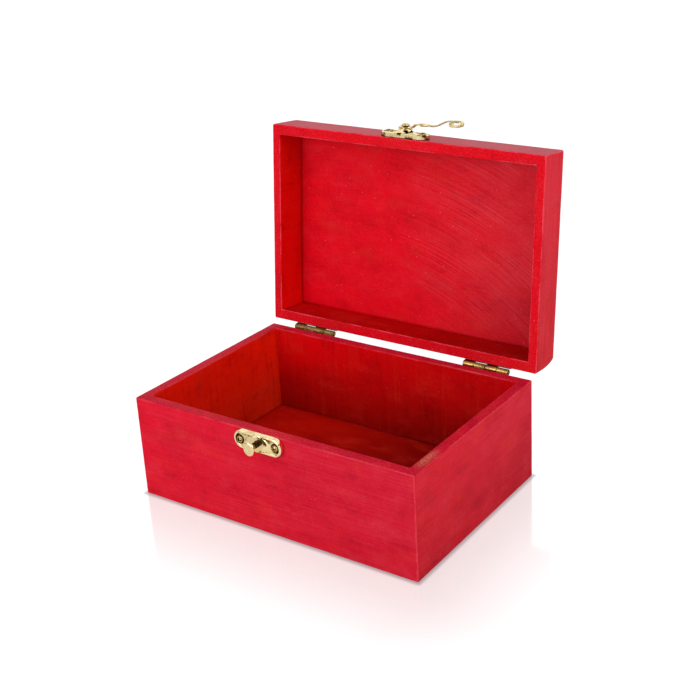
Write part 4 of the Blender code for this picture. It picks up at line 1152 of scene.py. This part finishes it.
def makeLeaf(owner, side, body, up, knuckles, material, opened):
    # Flat leaf with two rounded corners, and its knuckles: strips that ease in from the leaf and
    # roll about the pin.
    s = leafShape
    centre = s["centre"] if side == "right" else -s["centre"]
    shoulder = s["height"] - s["corner"]
    level = np.concatenate([s["height"] - s["corner"] * (1 - np.cos(arcSpan(0, 90, 8))),
                            np.linspace(shoulder - 0.001, s["notch"], 6)])
    lack = np.clip(level - shoulder, 0, None) / s["corner"]
    width = s["half"] - s["corner"] * (1 - np.sqrt(clamp(1 - lack ** 2)))
    y = np.full(len(level), hinge["y"] - s["back"])
    strips = [sheetStrip(y, hinge["z"] + up * level, y * 0 - 1, y * 0, centre - width,
                         centre + width)]
    pitch = 2 * s["half"] / s["knuckles"]
    turn = arcSpan(0, s["turn"], 64)
    flat = np.linspace(s["notch"], 0.0001, 6)
    ease = np.linspace(0, 1, 6) ** 2
    y = np.concatenate([hinge["y"] - s["back"] + (s["back"] - s["roll"]) * ease,
                        hinge["y"] - s["roll"] * np.cos(turn)])
    z = np.concatenate([hinge["z"] + up * flat, hinge["z"] - up * s["roll"] * np.sin(turn)])
    ny = np.concatenate([np.full(6, -1.0), -np.cos(turn)])
    nz = np.concatenate([np.zeros(6), -up * np.sin(turn)])
    for k in knuckles:
        left = np.full(len(y), centre - s["half"] + k * pitch + s["seam"])
        right = np.full(len(y), centre - s["half"] + (k + 1) * pitch - s["seam"])
        strips.append(sheetStrip(y, z, ny, nz, left, right))
    points, faces, count = [], [], 0
    for part, quads in strips:
        points.append(part)
        faces += [[i + count for i in quad] for quad in quads]
        count += len(part)
    points = np.concatenate(points)
    grimeAndShade = leafGrimeAndShade(points, centre, pitch)
    finishBrass(owner + "Leaf" + side.capitalize(), owner + "_hinge_leaf_" + side, body,
                material, turnedOpen(points) if opened else points, faces, grimeAndShade)


for owner, up, knuckles, opened in (("box", -1, (1, 3), False), ("lid", 1, (0, 2), True)):
    makeLeaf(owner, "left", owner, up, knuckles, dullBrass, opened)
    makeLeaf(owner, "right", owner, up, knuckles, hingeBrass, opened)
print("hinges made")

for name, obj in nodes.items():
    if not obj.hide_render:
        obj.data.materials.clear()
        obj.data.materials.append(hookBrass if name == "latch_hook" else dullBrass)
print("brass dressed")


# Stage

stageLook = {
    "floorSize": 4.0, "floorLevel": -0.0002, "foot": (0.090, 0.0605), "reflection": 0.30,
    "fade": 0.078, "roughness": 0.09, "contact": 0.0030, "contactShadowTint": (0.54, 0.47, 0.48, 1),
    "floorGlow": 1.12, "shadowPart": 0.13, "floorSeen": (0.9, 0.9, 0.9, 1),
    "floorPlain": (0.85, 0.85, 0.85, 1), "card": (0.012, 0.010, 0.009, 1),
    "horizon": 0.56, "zenith": 0.81, "lampAim": (0.0, 0.0, 0.06), "cardAim": (0.0, 0.0, 0.08),
}
# place, width and height of each card; place, sizes and power of each lamp
cards = {
    "frontCard": ((0.60, -1.05, 0.55), 1.0, 0.5), "leftCard": ((-1.10, -0.75, 0.22), 0.9, 0.45),
    "rightCard": ((1.30, 0.10, 0.25), 0.7, 0.45), "topCard": ((-0.05, -0.20, 1.50), 1.1, 0.8),
}
lamps = {
    "keyLamp": ((-0.25, -1.15, 0.50), (0.9, 0.6), 5.4),
    "fillLamp": ((0.98, -0.16, 0.84), (0.7, 0.7), 4.1),
}
white = (1, 1, 1, 1)


def addStagePiece(name, corners, visible):
    mesh = bpy.data.meshes.new(name)
    mesh.from_pydata(corners, [], [(0, 1, 2, 3)])
    obj = bpy.data.objects.new(name, mesh)
    bpy.context.scene.collection.objects.link(obj)
    made = bpy.data.materials.new(name)
    made.use_nodes = True
    mesh.materials.append(made)
    obj.visible_camera = obj.visible_diffuse = visible
    obj.visible_shadow = obj.visible_transmission = visible
    return made.node_tree


def makeFloor():
    # Camera rays see a white floor that keeps a faint shadow, with a painted contact shadow at the
    # box's foot, and mirrors the box close to its foot; the other rays meet a plain white floor.
    look = stageLook
    s, z = look["floorSize"], look["floorLevel"]
    tree = addStagePiece("studioFloor", [(-s, -s, z), (s, -s, z), (s, s, z), (-s, s, z)], True)
    tree.nodes.clear()
    place = addNode(tree, "ShaderNodeTexCoord", {}).outputs["Object"]
    parts = addNode(tree, "ShaderNodeSeparateXYZ", {0: place}).outputs
    squares = []
    for part, half in zip(parts, look["foot"]):
        past = calc(tree, "SUBTRACT", calc(tree, "ABSOLUTE", part), half)
        past = calc(tree, "MAXIMUM", past, 0.0)
        squares.append(calc(tree, "MULTIPLY", past, past))
    distance = calc(tree, "SQRT", calc(tree, "ADD", *squares))
    share = softStep(tree, distance, 0.0, look["fade"], look["reflection"], 0.0)
    contact = softStep(tree, distance, 0.0, look["contact"])
    # painted contact shadow: the floor and its mirror turn darker right at the box's foot
    tint = mixColours(tree, contact, look["contactShadowTint"], white)

    def shaderOf(kind, **sockets):
        return addNode(tree, "ShaderNode" + kind, sockets).outputs[0]

    def mixShaders(amount, first, second):
        return addNode(tree, "ShaderNodeMixShader", {0: amount, 1: first, 2: second}).outputs[0]

    glow = shaderOf("Emission", Color=tint, Strength=look["floorGlow"])
    base = mixShaders(look["shadowPart"], glow, shaderOf("BsdfDiffuse", Color=look["floorSeen"]))
    mirror = shaderOf("BsdfGlossy", Color=tint, Roughness=look["roughness"])
    camera = addNode(tree, "ShaderNodeLightPath", {}).outputs["Is Camera Ray"]
    both = mixShaders(camera, shaderOf("BsdfDiffuse", Color=look["floorPlain"]),
                      mixShaders(share, base, mirror))
    addNode(tree, "ShaderNodeOutputMaterial", {0: both})


def makeCard(name, centre, width, height):
    # Dark card turned to the box, met only by glossy rays: it gives the brass its dark bands.
    centre = Vector(centre)
    ahead = (Vector(stageLook["cardAim"]) - centre).normalized()
    across = ahead.cross(Vector((0, 0, 1))).normalized() * width / 2
    upward = across.cross(ahead).normalized() * height / 2
    corners = [centre - across - upward, centre + across - upward, centre + across + upward,
               centre - across + upward]
    tree = addStagePiece(name, [tuple(c) for c in corners], False)
    setSockets(tree, tree.nodes["Principled BSDF"],
               {"Base Color": stageLook["card"], "Specular IOR Level": 0.0})


def makeWorld():
    # White to camera, glossy and transmission rays; soft light that grows towards the zenith.
    world = bpy.data.worlds.new("studio")
    bpy.context.scene.world = world
    world.use_nodes = True
    tree = world.node_tree
    path = addNode(tree, "ShaderNodeLightPath", {}).outputs
    seen = calc(tree, "MAXIMUM", path["Is Camera Ray"], path["Is Glossy Ray"])
    seen = calc(tree, "MAXIMUM", seen, path["Is Transmission Ray"])
    aim = addNode(tree, "ShaderNodeTexCoord", {}).outputs["Generated"]
    up = addNode(tree, "ShaderNodeSeparateXYZ", {0: aim}).outputs[2]
    soft = softStep(tree, up, 0.0, 0.9, stageLook["horizon"], stageLook["zenith"])
    strength = addNode(tree, "ShaderNodeMix", {0: seen, 2: soft, 3: 1.0}).outputs[0]
    setSockets(tree, tree.nodes["Background"], {"Color": white, "Strength": strength})


def makeLamp(name, place, size, power):
    data = bpy.data.lights.new(name, "AREA")
    data.shape = "RECTANGLE"
    data.size, data.size_y = size
    data.energy = power
    obj = bpy.data.objects.new(name, data)
    bpy.context.scene.collection.objects.link(obj)
    obj.location = place
    aim = Vector(stageLook["lampAim"]) - Vector(place)
    obj.rotation_euler = aim.to_track_quat("-Z", "Y").to_euler()


# camera fitted to the edges of the box and lid in the photo, in metres and pixels
cameraFit = {
    "place": (0.371805, -0.487008, 0.345047), "right": (0.843362, 0.536124, -0.036205),
    "down": (0.158775, -0.313000, -0.936388), "forward": (-0.513352, 0.783966, -0.349095),
    "focal": 1231.03, "centre": (411.215, 285.63), "pixels": 700.0, "sensor": 36.0,
}


def makeCamera():
    s = cameraFit
    data = bpy.data.cameras.new("camera")
    obj = bpy.data.objects.new("camera", data)
    bpy.context.scene.collection.objects.link(obj)
    turn = Matrix((Vector(s["right"]), -Vector(s["down"]), -Vector(s["forward"]))).transposed()
    obj.matrix_world = Matrix.Translation(s["place"]) @ turn.to_4x4()
    data.sensor_width = s["sensor"]
    data.lens = s["focal"] * s["sensor"] / s["pixels"]
    data.shift_x = (s["pixels"] / 2 - s["centre"][0]) / s["pixels"]
    data.shift_y = (s["centre"][1] - s["pixels"] / 2) / s["pixels"]
    data.clip_start, data.clip_end = 0.01, 20.0
    bpy.context.scene.camera = obj


makeFloor()
makeWorld()
for name, (centre, width, height) in cards.items():
    makeCard(name, centre, width, height)
for name, (place, size, power) in lamps.items():
    makeLamp(name, place, size, power)
makeCamera()
bpy.context.scene.view_settings.view_transform = "Standard"
print("stage set")
